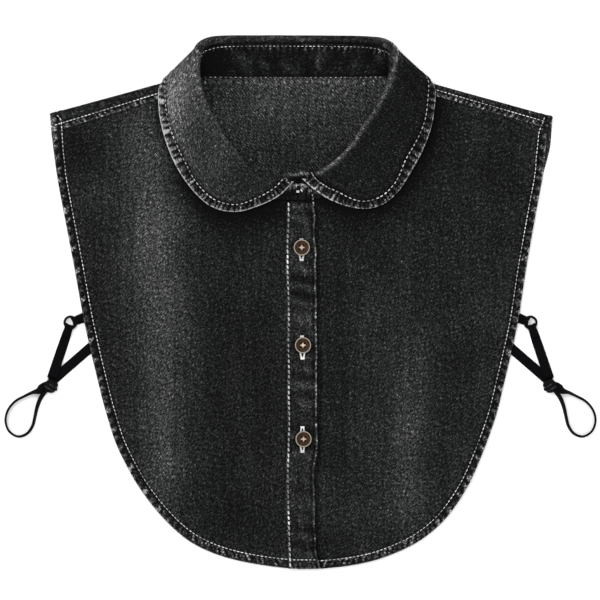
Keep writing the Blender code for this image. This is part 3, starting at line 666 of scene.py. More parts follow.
def betweenEnds(total, middle):
    return np.concatenate([endSteps, middle, (total - endSteps)[::-1]])


# Distances across a piece: the close rows of both its edges, with even ones between them
def rowsAcross(first, last, total, count):
    share = np.linspace(0, 1, count)[1:-1]
    return np.concatenate([first, first[-1] + share * (total - first[-1] - last[-1]), (total - last)[::-1]])


def backHeight(x, y):
    across = smooth((lift["endX"] - np.abs(x - cloth["collarAxis"])) / (lift["endX"] - lift["fullX"]))
    along = smooth((y - lift["startY"]) / (lift["fullY"] - lift["startY"]))
    return cloth["thick"] / 2 + lift["height"] * across * along


# Laid cloth doesn't lie dead flat: it rises by up to a millimetre, away from the collar.
def rumple(x, y):
    free = np.maximum(smooth((52 - y) / 26), smooth((np.abs(x) - 112) / 22) * smooth((112 - y) / 18))
    wave = 0.5 + 0.5 * clouds(x, y * 0.6, 90, 11)
    ripple = 0.5 + 0.5 * clouds(x * 1.1, y * 0.45, 34, 12)
    return free * np.clip(0.8 * wave + 0.28 * ripple, 0, 1.3)


def frontHeight(x, y):
    return backHeight(x, y) + layer + rumple(x, y)


# Height and wear of a turned and stitched edge, from the distance in and the length along it.
# It ropes: worn swellings come between dark dips. low is how far the edge is to the bottom, where they slant.
def hemShape(d, s, seed, low=0.0, changes=None):
    look = {**hemLook, **(changes or {})}
    pitch, band = look["pitch"], look["band"]
    phase = 2 * pi * (s / pitch + 0.22 * wander(s, pitch * 4.5, seed)) + (look["slant"] + 0.5 * low) * d
    strong = 0.78 + 0.3 * wander(s, pitch * 3.1, seed + 1)
    window = smooth(d / 1.0) * (1 - smooth((d - band + 1.8) / 1.6))
    swell = np.sin(phase)
    fine = np.sin(2.3 * phase + 1.3 * wander(s, pitch * 2, seed + 2)) * window * 0.35
    folded = smooth(d / 1.0) * (1 - smooth((d - hem["width"] + 1.0) / 1.6))
    beyond = bell(d - band - 1.9, 1.3) * np.sin(phase + 1.1) * strong * 0.45
    height = (hem["rise"] * folded + hem["pucker"] * (swell * strong * window + fine * 0.6 + beyond)
              - hem["groove"] * bell(d - band, 0.75))
    mottled = 0.5 * wander(s + 3 * d, 2.6, seed + 4) + 0.5 * wander(s - 4 * d, 3.4, seed + 5)
    blotch = smooth(look["share"] - look["narrow"] * low + 0.9 * swell + look["uneven"] * mottled) * strong
    reached = smooth(d / (0.5 + 1.2 * low)) * (1 - smooth((d - look["reach"] - 1.5 * low + 0.7) / 1.4))
    edge = bell(d - 0.35, 0.45) * (0.8 + 0.25 * wander(s, 9, seed + 3))
    dark = bell(d - band + 0.4, 1.7)
    between = (1 - blotch) * bell(d - 0.62 * band, 1.5)
    wear = (look["line"] * edge
            + reached * (look["gain"] * (1 + 0.1 * low) * blotch + look["mottle"] * mottled)
            - look["spots"] * between - 0.3 * window + 0.3 * beyond - (0.36 - 0.2 * low) * dark
            + 0.06 * bell(d - hem["width"], 0.9))
    return height, np.clip(wear, -1, 1.8)


# Close rows of points along an outline and the extra lines, and a lattice inside them
def triangulate(outline, lattice, extra=()):
    closed = closedLine(outline)
    ahead = np.roll(outline, -1, axis=0) - np.roll(outline, 1, axis=0)
    inward = unit(np.stack([-ahead[:, 1], ahead[:, 0]], axis=1))
    if inside(outline + inward * 0.05, outline).mean() < 0.5:
        inward = -inward
    parts = []
    for offset in panelShape["rings"]:
        ring = outline + inward * offset
        ring = ring[inside(ring, outline)]
        parts.append(ring[nearest(ring, closed)[0] > offset * 0.93])
    low, high = outline.min(0), outline.max(0)
    grid = []
    for i, y in enumerate(np.arange(low[1], high[1], lattice * 0.866)):
        x = np.arange(low[0] + (i % 2) * lattice / 2, high[0], lattice)
        grid.append(np.stack([x, np.full(len(x), y)], axis=1))
    grid = np.vstack(grid)
    grid = grid[inside(grid, outline)]
    grid = grid[nearest(grid, closed)[0] > panelShape["rings"][-1] + lattice * 0.5]
    for line in extra:
        grid = grid[nearest(grid, line)[0] > lattice * 0.5]
    points = np.vstack([outline, *parts, *extra, grid])
    edges = [(i, (i + 1) % len(outline)) for i in range(len(outline))]
    found = geometry.delaunay_2d_cdt([Vector(p) for p in points.tolist()], edges, [], 1, 1e-6)
    return np.array([tuple(p) for p in found[0]]), np.array([f[:3] for f in found[2]])


# Places on a mapped plane and its surface directions there, by small steps
def mapped(place, points):
    right, up = np.array([0.05, 0]), np.array([0, 0.05])
    alongX, alongY = [place(points + step) - place(points - step) for step in (right, up)]
    return place(points), unit(np.cross(alongX, alongY))


def rounding(d, radius):
    return np.sqrt(np.clip(1 - (1 - np.clip(d / radius, 0, 1)) ** 2, 0, 1))


# A shell over a grid of points. gap is how far each is from the nearest edge; radius rounds the edge.
def gridShell(name, grid, normals, faces, gap, radius, above, below, material, uv, wear, fade,
              underWear=1.0):
    turn = rounding(gap, radius).ravel()
    return shell(name, grid.reshape(-1, 3), normals.reshape(-1, 3), faces, (gap < 0.01).ravel(),
                 above.ravel() * turn, below * turn, material, uv.reshape(-1, 2) / 10,
                 {"wear": wear.ravel(), "fade": fade.ravel()}, underWear)


# Directions from a line on the outline into the cloth; they are tried at one of its points
def inwardFrom(line, outline, tried):
    ahead = np.gradient(line, axis=0)
    inward = unit(np.stack([-ahead[:, 1], ahead[:, 0]], axis=1))
    return inward if inside(line[[tried]] + inward[[tried]] * 3, outline)[0] else -inward


# crest left, crest right, edge left, edge right, neck, crest z, edge z, neck z, roll, turn
collarStations = [
    ((6.6, 89.1), (7.0, 90.8), (2.1, 86.7), (3.8, 88.6), (8.0, 73.6), 7.6, 8.4, 4.0, 1.5, 0),
    ((17.9, 88.0), (16.8, 95.4), (13.2, 76.0), (15.3, 78.5), (22.2, 75.6), 7.4, 6.9, 4.0, 1.8, 0),
    ((25.8, 89.8), (26.4, 101.9), (29.4, 68.4), (29.7, 70.9), (34.0, 80.4), 7.9, 5.2, 4.0, 2.2, 0),
    ((32.5, 95.2), (34.0, 109.1), (45.2, 64.8), (46.9, 67.0), (44.6, 87.6), 8.6, 4.4, 4.0, 2.4, 0),
    ((40.2, 105.8), (40.5, 117.0), (61.8, 68.8), (62.0, 70.2), (55.4, 98.0), 9.4, 4.2, 4.0, 2.6, 0),
    ((49.5, 117.4), (46.9, 127.4), (75.5, 81.0), (74.0, 80.6), (65.0, 109.4), 10.2, 4.2, 4.1, 2.6, 0),
    ((57.5, 130.3), (53.8, 136.8), (87.0, 97.9), (83.5, 95.5), (72.6, 122.6), 11.2, 4.3, 4.6, 2.6, 5),
    ((63.9, 142.9), (59.5, 147.1), (94.5, 115.9), (91.1, 109.6), (76.6, 135.6), 12.6, 5.0, 6.2, 2.6, 12),
    ((68.1, 155.2), (63.9, 156.6), (98.5, 131.8), (97.1, 126.5), (77.2, 147.0), 14.4, 6.4, 6.4, 2.6, 25),
    ((70.4, 165.6), (66.9, 166.0), (99.7, 144.7), (99.5, 142.4), (75.2, 155.0), 16.2, 8.0, 5.8, 2.6, 50),
    ((71.5, 174.2), (68.9, 174.2), (99.4, 152.6), (99.9, 151.8), (72.6, 159.6), 16.8, 8.2, 5.0, 2.6, 78),
    ((71.8, 179.8), (70.4, 179.5), (97.0, 157.2), (97.4, 157.0), (69.8, 161.4), 15.2, 7.6, 4.8, 2.6, 98),
    ((71.4, 184.0), (69.8, 183.7), (95.2, 160.0), (95.2, 160.0), (66.0, 162.2), 12.4, 4.5, 4.8, 2.6, 118),
    ((68.4, 187.9), (66.5, 187.4), (93.6, 158.8), (93.8, 158.9), (61.0, 162.4), 9.8, 1.2, 4.8, 2.7, 138),
    ((63.4, 190.6), (61.4, 190.2), (91.6, 152.8), (91.8, 152.8), (54.6, 162.4), 7.2, 0.95, 4.8, 2.8, 158),
    ((55.3, 192.0), (52.7, 191.5), (83.6, 148.7), (83.6, 148.7), (45.6, 162.3), 5.2, 0.95, 4.8, 3.0, 173),
    ((36.6, 192.3), (35.4, 192.0), (55.3, 145.8), (55.3, 145.8), (27.6, 162.2), 4.05, 0.95, 4.8, 3.0, 180),
    ((0.0, 192.3), (0.0, 192.3), (0.0, 144.7), (0.0, 144.7), (0.0, 162.1), 3.95, 0.95, 4.8, 3.0, 180)]
crestFollow = 0.8  # share of the right crest's shift that its neck seam takes


def neckSeam(row, sign):
    shift = 0 if sign < 0 else (row[1][0] - row[0][0]) * crestFollow
    return np.array([row[4][0] + shift, row[4][1]])


def neckLine(first, last, sign, allowance=1.5):
    found = []
    for row in collarStations[first:last + 1]:
        seam, crest = neckSeam(row, sign), np.array(row[0] if sign < 0 else row[1])
        spot = seam + (crest - seam) / np.linalg.norm(crest - seam) * allowance
        found.append((cloth["collarAxis"] + sign * spot[0], spot[1]))
    return np.array(found)


# Round the back of the neck, from station first on the left to the same on the right
def backNeck(first):
    last = len(collarStations) - 1
    return np.vstack([neckLine(first, last, -1), neckLine(first, last, 1)[::-1][1:]])


# Soft faded areas, and painted shade and light such as the shadows under the collar's leaves, in the neck
# opening and on the stand: x, y, half width, half height, amount
leftFadesAndShade = [
    (-108, 112, 10, 40, 0.05), (-112, 30, 14, 26, 0.04), (-177.0, 120, 3.2, 16, 0.25),
    (-50, -165, 50, 20, -0.05), (-108, 75, 22, 70, 0.12), (-99, 10, 20, 75, 0.155),
    (-101, -60, 14, 45, 0.13), (-101, -125, 15, 30, 0.14), (-150, 20, 12, 60, -0.07),
    (-55, -60, 18, 120, -0.08), (-28, -40, 16, 130, -0.08), (-140, 75, 20, 16, 0.04),
    (-70, -150, 40, 18, -0.03), (-60, 60, 22, 18, -0.08), (-74, 16, 18, 22, -0.05), (-12, 64, 26, 9, -0.16),
    (-162, 112, 20, 18, -0.17), (-120, 122, 12, 26, 0.08), (-132, -60, 12, 60, -0.04)]
rightFadesAndShade = [
    (178.0, 118, 3.0, 12, 0.04), (130, 106, 50, 26, -0.05), (50, -172, 40, 14, -0.05),
    (80, 62, 18, 12, -0.06), (77, -95, 13, 80, 0.155), (137, -6, 20, 26, 0.05), (60, -150, 30, 22, 0.05),
    (26, -40, 12, 130, -0.08), (120, 20, 45, 120, -0.045), (50, 40, 26, 26, -0.05),
    (150, 60, 12, 40, -0.04), (101, -60, 10, 90, -0.02)]
# Inside the neck: painted shadow beside both rolls, lower down and in the nearly black gap between the
# leaves; the small pale spots are worn marks
backFadesAndShade = [
    (-46, 150, 8, 30, -0.07), (44, 152, 9, 24, -0.08), (-64, 152, 9, 15, -0.16), (0, 156, 60, 16, 0.05),
    (0, 128, 60, 10, -0.04), (-5, 102, 50, 18, -0.14), (-1.5, 88.0, 6, 2.4, -0.6), (-178.0, 127, 3.5, 9, 0.3),
    (-7.0, 91.6, 2.4, 1.1, 0.5), (-2.6, 91.3, 2.0, 1.1, 0.5), (0.6, 92.7, 2.0, 1.2, 0.6),
    (4.4, 92.8, 2.0, 1.1, 0.5)]
collarFadesAndShade = [
    (62, 187, 12, 9, 0.16), (-80, 174, 10, 12, 0.13), (-45, 84, 14, 10, -0.05), (-92, 151, 21, 25, 0.35),
    (-97, 112, 16, 28, 0.24), (-62, 98, 18, 26, 0.10), (-30, 96, 16, 10, -0.06), (-26, 84, 12, 8, -0.05),
    (80, 156, 12, 14, -0.06)]
# The stand's left corner is painted nearly black: painted shadow under the left roll
standFadesAndShade = [(-66, 170, 15, 18, -0.34), (-60, 140, 20, 30, -0.06), (60, 140, 20, 30, -0.04)]


def fadeAt(x, y, table):
    total = np.zeros_like(x)
    for cx, cy, rx, ry, amount in table:
        total += amount * np.exp(-((x - cx) / rx) ** 2 - ((y - cy) / ry) ** 2)
    return total


# Painted shadow: the cloth beside the collar's leaves is darkened as if the leaf shaded it.
def leafShade(points, sign):
    edge = np.array([row[2 if sign < 0 else 3] for row in collarStations[:11]])
    edge = np.column_stack([cloth["collarAxis"] + sign * edge[:, 0], edge[:, 1]])
    far = nearest(points, catmull(edge, 6))[0]
    # the left leaf stands off the front higher up, so its shade is softer there
    airy = smooth((points[:, 1] - 80) / 25) * (1 if sign < 0 else 0)
    close, wide = bell(far, 4.5 - 2 * airy), bell(far, 13)
    return (1 - 0.35 * airy) * 0.24 * close + (1 - 0.85 * airy) * 0.19 * wide


placketEdges = [  # y, left, right
    (72.4, -9.8, 9.6), (62.0, -9.8, 10.6), (53.3, -10.0, 10.2), (44.6, -10.5, 10.5), (36.0, -10.5, 11.5),
    (27.4, -10.5, 11.1), (18.7, -10.4, 11.4), (10.1, -10.1, 11.2), (1.4, -9.8, 11.8), (-15.8, -9.6, 11.5),
    (-33.1, -9.9, 12.0), (-50.4, -9.5, 11.8), (-67.7, -9.7, 11.8), (-85.0, -9.3, 11.8), (-102.2, -9.8, 12.5),
    (-110.9, -9.9, 11.6), (-119.5, -10.3, 10.1), (-128.2, -10.3, 9.8), (-145.4, -10.0, 10.4),
    (-162.7, -9.5, 10.4), (-171.4, -9.3, 11.2), (-180.0, -8.9, 11.4), (-192.0, -8.6, 14.4)]


# The placket stands above the fronts and shades a narrow strip beside it.
def placketShade(points):
    line = catmull(np.array(placketEdges)[:, [2, 0]], 6)
    return 0.3 * bell(nearest(points, line)[0], 2.4) * smooth((70 - points[:, 1]) / 5)


# How the side rows run up over the shoulder strips to the top edge
cornerRows = {-1: [(-175.2, 134.4), (-173.7, 133.0), (-172.6, 131.0), (-172.0, 126.7), (-171.8, 122.4),
                   (-171.4, 115.9), (-170.8, 108.0), (-169.7, 99.0)],
              1: [(175.6, 132.7), (174.6, 129.8), (172.7, 125.1), (171.5, 120.2), (170.8, 112.5),
                  (169.7, 103.5)]}


def frontPanel(name, sign, fadesAndShade):
    edge = sideLine(sign)
    opening = panelShape["openingX"] + sign * 0.4
    if sign < 0:
        edge = edge[edge[:, 0] > -(opening - 2)]
    ends = shoulders[sign]
    neckEnd = (ends["neck"][0] * sign, ends["neck"][1] - 1)
    tip = (edge[0, 0] + 0.2, ends["tip"][1] - 1)
    corner = (edge[0, 0] + 1.0, ends["tip"][1] - 5)
    outer = np.vstack([[neckEnd, tip, corner], edge]) * np.array([sign, 1])
    neck = neckLine(0, 8, sign)
    hemBottom = np.array([[opening, edge[-1, 1] - 0.3]])
    corners = closedLine(np.vstack([[[opening, neck[0, 1]]], neck, outer, hemBottom]))
    outline = resample(corners, panelShape["outlineStep"])[:-1]
    hemLine = resample(np.vstack([edge * np.array([sign, 1]), hemBottom]), 1.0)
    points, faces = triangulate(outline, panelShape["frontLattice"])
    x, y = points[:, 0], points[:, 1]
    rimGap = nearest(points, closedLine(outline))[0]
    d, s = nearest(points, hemLine)
    middle, normals = mapped(lambda at: np.column_stack([at, frontHeight(at[:, 0], at[:, 1])]), points)
    # the roping is closer along the bottom
    low = smooth((-140 - hemLine[:, 1]) / 30)
    closer = np.cumsum(np.gradient(lengths(hemLine)) * hemLook["pitch"] / (hemLook["pitch"] - 2.6 * low))
    s = np.interp(s, lengths(hemLine), closer)
    height, wear = hemShape(d, s, 20 + sign, low=smooth((-150 - y) / 25))
    # nothing of the hem shows under the placket and the shoulder strip
    uncovered = smooth((np.abs(x - 1) - 13) / 4) * (1 - smooth((y - 119) / 4))
    turn = rounding(rimGap, 0.7)
    above = (cloth["thick"] / 2 - cloth["fieldThinner"] + height * uncovered) * turn
    below = (cloth["thick"] / 2) * turn
    fade = fadeAt(x, y, fadesAndShade) - leafShade(points, sign) - placketShade(points)
    panel = shell(name, middle, normals, faces, rimGap < 0.02, above, below, denim, points / 10,
                  {"wear": wear * uncovered, "fade": fade})
    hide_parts("front_" + sideName(sign))
    row = hemLine + inwardFrom(hemLine, outline, 200) * (hem["stitchIn"] + (0.6 if sign < 0 else 0))
    row = row[(np.abs(row[:, 0] - 1) > 10.3)]
    row = row[row[:, 1] < cornerRows[sign][-1][1] - 6]
    z = frontHeight(row[:, 0], row[:, 1]) + cloth["thick"] / 2 - cloth["fieldThinner"] + 0.12
    stitchLines[name + "Hem"] = (np.column_stack([row, z]), None, {"lead": 0.3})
    return panel


frontLeft = frontPanel("frontLeft", -1, leftFadesAndShade)
frontRight = frontPanel("frontRight", 1, rightFadesAndShade)
print("fronts made")


def foldFrame(sign):
    tip, neck = np.array(shoulders[sign]["tip"]), np.array(shoulders[sign]["neck"])
    along = (neck - tip) / np.linalg.norm(neck - tip)
    out = np.array([-along[1], along[0]])
    return tip, neck, out if out[1] > 0 else -out


# How far points of the back panel's pattern are past a shoulder fold, and which of them turn forward there
def pastFold(points, sign):
    tip, neck, out = foldFrame(sign)
    past = (points - tip) @ out
    return past, (past > 0) & (points[:, 0] * sign > 60)


# The back panel's pattern, turned forward where it passes a shoulder fold
def foldedBack(points):
    found = np.column_stack([points, backHeight(points[:, 0], points[:, 1])])
    for sign in (-1, 1):
        out = foldFrame(sign)[2]
        past, turned = pastFold(points, sign)
        arc = np.clip(past / foldRadius, 0, pi)
        shift = foldRadius * np.sin(arc) - np.maximum(past - pi * foldRadius, 0)
        spot = points - out * past[:, None] + out * shift[:, None]
        z = backHeight(spot[:, 0], spot[:, 1]) + foldRadius * (1 - np.cos(arc))
        found[turned] = np.column_stack([spot, z])[turned]
    return found


# The shoulder strips' sewn edge: a narrow hem, roped closely
fellLook = {"lower": 1.4, "stitchIn": 3.0, "roping": {"pitch": 4.2, "band": 4.4, "reach": 3.6, "line": 0.15,
                                                      "share": 0.75, "gain": 1.15, "slant": 0.7}}


def backPanel(name):
    turned = pi * foldRadius
    outline, foldRows, hemParts, fells = [], [], [], {}
    for sign in (-1, 1):
        edge = sideLine(sign)
        show = panelShape["backShow"] * smooth((edge[:, 1] - 85) / 30) if sign > 0 else 0
        inset = panelShape["backInset"]
        edge = np.column_stack([edge[:, 0] - inset + show, edge[:, 1] + inset * (edge[:, 1] < -150)])
        edge = edge * np.array([sign, 1])
        tip, neck, out = foldFrame(sign)
        strip = [np.array(shoulders[sign]["fellTip"]), np.array(shoulders[sign]["fellNeck"])]
        strip = [p - out * (2 * ((p - tip) @ out) - turned - fellLook["lower"]) for p in strip]
        rise = out * turned
        neckPart = neckLine(9, len(collarStations) - 1, sign)
        outline.append(np.vstack([edge[::-1], [tip, tip + rise, *strip, neck + rise, neck], neckPart]))
        inwards = (neck - tip) * 0.004
        foldRows += [resample(np.array([tip + rise * k + inwards, neck + rise * k - inwards]), 2.2)
                     for k in np.linspace(0, 1, 9)]
        hemParts.append(np.vstack([edge[::-1], [tip, tip + rise, strip[0]]]))
        fells[sign] = np.array(strip)
    whole = closedLine(np.vstack([outline[0], outline[1][::-1][1:]]))
    whole = resample(whole, panelShape["outlineStep"])[:-1]
    hemLine = resample(np.vstack([hemParts[0][::-1], hemParts[1]]), 1.0)
    # close rows where the neck opening shows small worn marks
    fineRows = [np.column_stack([np.arange(-12, 10, 0.8), np.full(28, y)]) for y in np.arange(85, 96, 0.8)]
    points, faces = triangulate(whole, panelShape["backLattice"], foldRows + fineRows)
    x = points[:, 0]
    closed = closedLine(whole)
    rimGap = nearest(points, closed)[0]
    d, s = nearest(points, hemLine)
    middle, normals = mapped(foldedBack, points)
    height, wear = hemShape(d, s, 41)
    strips = np.zeros(len(points), bool)
    for sign, fell in fells.items():
        fd, fs = nearest(points, resample(fell, 1.0))
        fellHeight, fellWear = hemShape(fd, fs, 51 + sign, changes=fellLook["roping"])
        share = (1 - smooth((fd - 5.5) / 2)) * smooth((d - 7) / 3)
        height = height * (1 - share) + fellHeight * share
        wear = wear * (1 - share) + fellWear * share
        past, forward = pastFold(points, sign)
        strips |= forward
        ridge = bell(past - turned * 0.42, 1.0) * (x * sign > 60)
        wear = wear + ridge * (0.1 + 0.5 * wander(x, 9, 61 + sign))
    rim = rimGap < 0.02
    turn = rounding(rimGap, 0.7)
    # The outside faces down, and forward on the shoulder strips. Where it rests it stays flat.
    resting = np.minimum(cloth["thick"] / 2 - 0.33 + height * 0.6, cloth["thick"] / 2 - 0.02)
    below = np.where(strips, cloth["thick"] / 2 - cloth["fieldThinner"] + height, resting) * turn
    # inside, the neck seam's allowance stands up as a ridge
    neckBand, neckRun = nearest(points, resample(backNeck(9), 2.0))
    ridge = bell(neckBand - 5.2, 1.6)
    above = cloth["thick"] / 2 * turn + 0.25 * ridge * turn
    insideWear = 0.35 * ridge * wander(neckRun, 4.5, 71) + 0.15 * ridge
    fade = fadeAt(middle[:, 0], middle[:, 1], backFadesAndShade) + strips * 0.12 * clouds(x, points[:, 1], 4, 63)
    panel = shell(name, middle, normals, faces, rim, above, below, insideDenim, points / 10,
                  {"wear": wear, "fade": fade})
    # the inner face, which is built first, has no hem wear and shows the cloth's reverse
    values = np.empty(len(panel.data.vertices), np.float32)
    panel.data.attributes["wear"].data.foreach_get("value", values)
    values[:len(points)] = np.where(rim, wear, insideWear)
    panel.data.attributes["wear"].data.foreach_set("value", values)
    panel.data.materials.append(denim)
    slots = np.zeros(len(panel.data.polygons), np.int32)
    slots[len(faces):] = 1
    panel.data.polygons.foreach_set("material_index", slots)
    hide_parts("back_panel")
    row = hemLine + inwardFrom(hemLine, whole, 300) * hem["stitchIn"]
    row = row[(nearest(row, closed)[0] > hem["stitchIn"] * 0.9) | (row[:, 1] > 100)]
    row = row[~(pastFold(row, -1)[1] | pastFold(row, 1)[1]) & (nearest(row, closed)[0] > 0.7)]
    spots, ups = mapped(foldedBack, row)
    stitchLines[name + "Hem"] = (spots - ups * (cloth["thick"] / 2 - 0.22), -ups, {})
    for sign, fell in fells.items():
        line = resample(fell - foldFrame(sign)[2] * (fellLook["stitchIn"] + fellLook["lower"]), 1.0)
        spots, ups = mapped(foldedBack, line)
        stitchLines[name + "Fell" + sideName(sign).title()] = (
            spots - ups * (cloth["thick"] / 2 - cloth["fieldThinner"] + 0.1), -ups,
            {"pitch": 2.8, "length": 2.7, "shade": 0.02})
    return panel


back = backPanel("backPanel")
print("back panel made")


def treeOf(piece):
    return bvhtree.BVHTree.FromPolygons([v.co for v in piece.data.vertices],
                                        [face.vertices for face in piece.data.polygons])


# Lays a row of points down on the pieces below it
def draped(spots, pieces, above=0.12):
    trees = [treeOf(piece) for piece in pieces]
    found, ups = [], []
    for x, y in np.asarray(spots)[:, :2]:
        hits = [tree.ray_cast(Vector((x * mm, y * mm, 0.1)), Vector((0, 0, -1))) for tree in trees]
        hits = [hit for hit in hits if hit[0] is not None]
        if hits:
            best = max(hits, key=lambda hit: hit[0].z)
            found.append([x, y, best[0].z / mm])
            ups.append(best[1])
    found, ups = np.array(found), np.array(ups)
    for k in range(2):
        ups[1:-1] = ups[:-2] + 2 * ups[1:-1] + ups[2:]
        ups = unit(ups)
    return found + ups * above, ups


# Presses a row on to a piece's surface, along the row's own directions
def pressed(spots, ups, piece, above):
    tree = treeOf(piece)
    found = []
    for spot, up in zip(spots, ups):
        hit = tree.ray_cast(Vector((spot + up * 2.5) * mm), Vector(-up), 5 * mm)
        found.append(spot if hit[0] is None else np.array(hit[0]) / mm + up * above)
    return np.array(found)


for sign, panel in ((-1, frontLeft), (1, frontRight)):
    spots, ups, changes = stitchLines[panel.name + "Hem"]
    spots = spots if spots[0, 1] > spots[-1, 1] else spots[::-1]
    spots = np.vstack([resample(catmull(cornerRows[sign], 8), 1.0), spots[:, :2]])
    stitchLines[panel.name + "Hem"] = (*draped(spots, [panel, back]), changes)


placketLook = {"stitchIn": 1.25, "bead": 1.6, "puckerPitch": 11.0, "pucker": 0.22, "thinner": 0.15,
               "rows": (0, 0.2, 0.5, 0.95, 1.5, 2.1, 2.8, 3.6, 4.5, 5.4), "hemLower": 0.6,
               "edgeStitch": {"pitch": 3.76, "width": 1.2, "length": 3.3, "shade": 0.17, "slope": 0.12}}
buttonPlaces = [(0.9, 39.2), (1.8, -31.1), (2.2, -98.6)]


def placketTop(x, y):
    return frontHeight(x, y) + layer + 0.2


def makePlacket(name):
    line = catmull(placketEdges, 8)
    total = abs(line[-1, 0] - line[0, 0])
    where = betweenEnds(total, np.arange(2.4, total - 2.3, 1.2))
    line = atLengths(line, where, lengths(line[:, :1]))
    widths = line[:, 2] - line[:, 1]
    near = np.array(placketLook["rows"])
    across = np.stack([rowsAcross(near, near, width, 9) for width in widths])
    x = line[:, 1:2] + across
    y = np.repeat(line[:, :1], across.shape[1], axis=1)
    fromLeft, fromRight = across, widths[:, None] - across
    fromEnd = np.minimum(where, total - where)[:, None]
    fromHem = (total - where)[:, None] + 0 * across
    # cross puckers, stronger near the stitched edge
    wave = wander(y + 1.2 * fromLeft / 10, placketLook["puckerPitch"], 81) * (0.6 + 0.4 * wander(y, 60, 82))
    fine = np.sin(2 * pi * (y + 0.8 * fromLeft) / 3.6 + 1.5 * wander(y, 14, 84)) * bell(fromLeft - 1.6, 1.5)
    groove = bell(fromLeft - placketLook["stitchIn"], 0.6)
    # roping on the right edge
    lean = np.sin(2 * pi * (y - 0.9 * fromRight) / 4.1 + 1.4 * wander(y, 17, 83))
    bead = smooth((placketLook["bead"] - fromRight) / 0.6)
    # a stitched hem at the bottom
    hemGroove = bell(fromHem - hem["stitchIn"] - placketLook["hemLower"], 0.8)
    hemRoping = np.sin(2 * pi * x / 3.4 + 0.9 * fromHem) * smooth(fromHem / 1.2)
    hemRoping = hemRoping * (1 - smooth((fromHem - 4) / 1.6))
    # the cloth gathers under the stand's end
    atTop = bell(where[:, None] - 3.4, 1.8)
    topRoping = np.sin(2 * pi * x / 3.1 + 0.5 * fromHem + 1.2 * wander(x, 7, 88))
    height = (placketLook["pucker"] * wave + 0.16 * fine - 0.22 * groove + bead * (0.2 + 0.05 * lean)
              - 0.12 * bell(fromRight - 2.5, 0.8) - 0.2 * hemGroove + 0.2 * hemRoping
              + 0.16 * atTop * topRoping)
    lessLow = 1 - 0.45 * smooth((-100 - y) / 30)
    wear = (0.2 * wave * (0.35 + 0.65 * smooth(fromLeft / 3)) + 0.3 * fine - 0.3 * groove
            + bead * (0.52 + 0.2 * lean + 0.25 * wander(y, 7, 86)) * lessLow
            + atTop * (0.3 + 0.35 * topRoping) - 0.3 * bell(fromRight - 2.3, 0.8)
            + 0.5 * bell(fromLeft, 0.5) + 0.7 * bell(fromHem, 0.7) + 0.35 * hemRoping - 0.2 * hemGroove)
    top = cloth["placketWall"] / 2 - placketLook["thinner"]
    # painted shadow: a dark ring round each button as its contact shadow, and darker at the top under the
    # stand's end
    fromButton = np.min([np.hypot(x - spot[0], y - spot[1]) for spot in buttonPlaces], axis=0)
    fade = (0.01 + 0.04 * wander(y, 55, 85) + 0.08 * clouds(x, y, 9, 87) - 0.2 * bell(72 - y, 5.5)
            - 0.13 * (1 - smooth((fromButton - 6.5) / 1.7)))
    gap = np.minimum(np.minimum(fromLeft, fromRight), fromEnd)
    panel = gridShell(name, np.stack([x, y, placketTop(x, y)], axis=2), np.tile([0.0, 0.0, 1.0], (x.size, 1)),
                      gridFaces(*x.shape)[:, ::-1], gap, 0.9, top + height, cloth["placketWall"] / 2,
                      denim, np.stack([x, y], axis=2), wear, fade)
    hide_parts("placket")
    row = np.stack([line[:, 1] + placketLook["stitchIn"], line[:, 0]], axis=1)[:-2]
    stitchLines[name + "Edge"] = (np.column_stack([row, placketTop(row[:, 0], row[:, 1]) + top + 0.02]), None,
                                  placketLook["edgeStitch"])
    y, left, right = line[-1]
    xs = np.linspace(left + 2.2, right - 1.0, 20)
    ys = np.full(20, y + hem["stitchIn"] + placketLook["hemLower"])
    stitchLines[name + "Hem"] = (np.stack([xs, ys, placketTop(xs, ys) + top + 0.05], axis=1), None, {})
    return panel


placket = makePlacket("placketStrip")
print("placket made")


collarLook = {"columns": 560, "seamLead": 2.4, "seamStraight": 0.8, "stitchIn": 5.8, "underWear": 0.3,
              "edgeRows": (0, 0.2, 0.5, 0.95, 1.5, 2.2, 3.0, 3.8, 4.6, 5.2, 5.8, 6.4, 7.2, 8.2, 9.4, 10.8),
              "rollRows": (0, 0.2, 0.5, 0.95, 1.6, 2.4, 3.2, 4.0, 4.8, 5.6, 6.4, 7.2, 8.0, 8.8, 9.8, 11.0),
              "stitch": {"pitch": 3.4, "length": 2.4, "width": 0.8, "shade": 0.12}}
# The leaves' hem is roped like a ladder, with a bright line along the edge
leafHem = {"pitch": 5.8, "slant": 0.12, "reach": 5.3, "gain": 0.85, "share": 0.8, "line": 1.6,
           "spots": 0.5, "uneven": 0.3, "mottle": 0.3}


def bezierRows(a, b, c, d, t):
    t = t[None, :, None]
    a, b, c, d = (p[:, None] for p in (a, b, c, d))
    return a * (1 - t) ** 3 + 3 * b * t * (1 - t) ** 2 + 3 * c * t ** 2 * (1 - t) + d * t ** 3


# Evens out rows of directions with their neighbours
def evened(rows):
    rows[1:-1] = unit(rows[:-2] + 2 * rows[1:-1] + rows[2:])


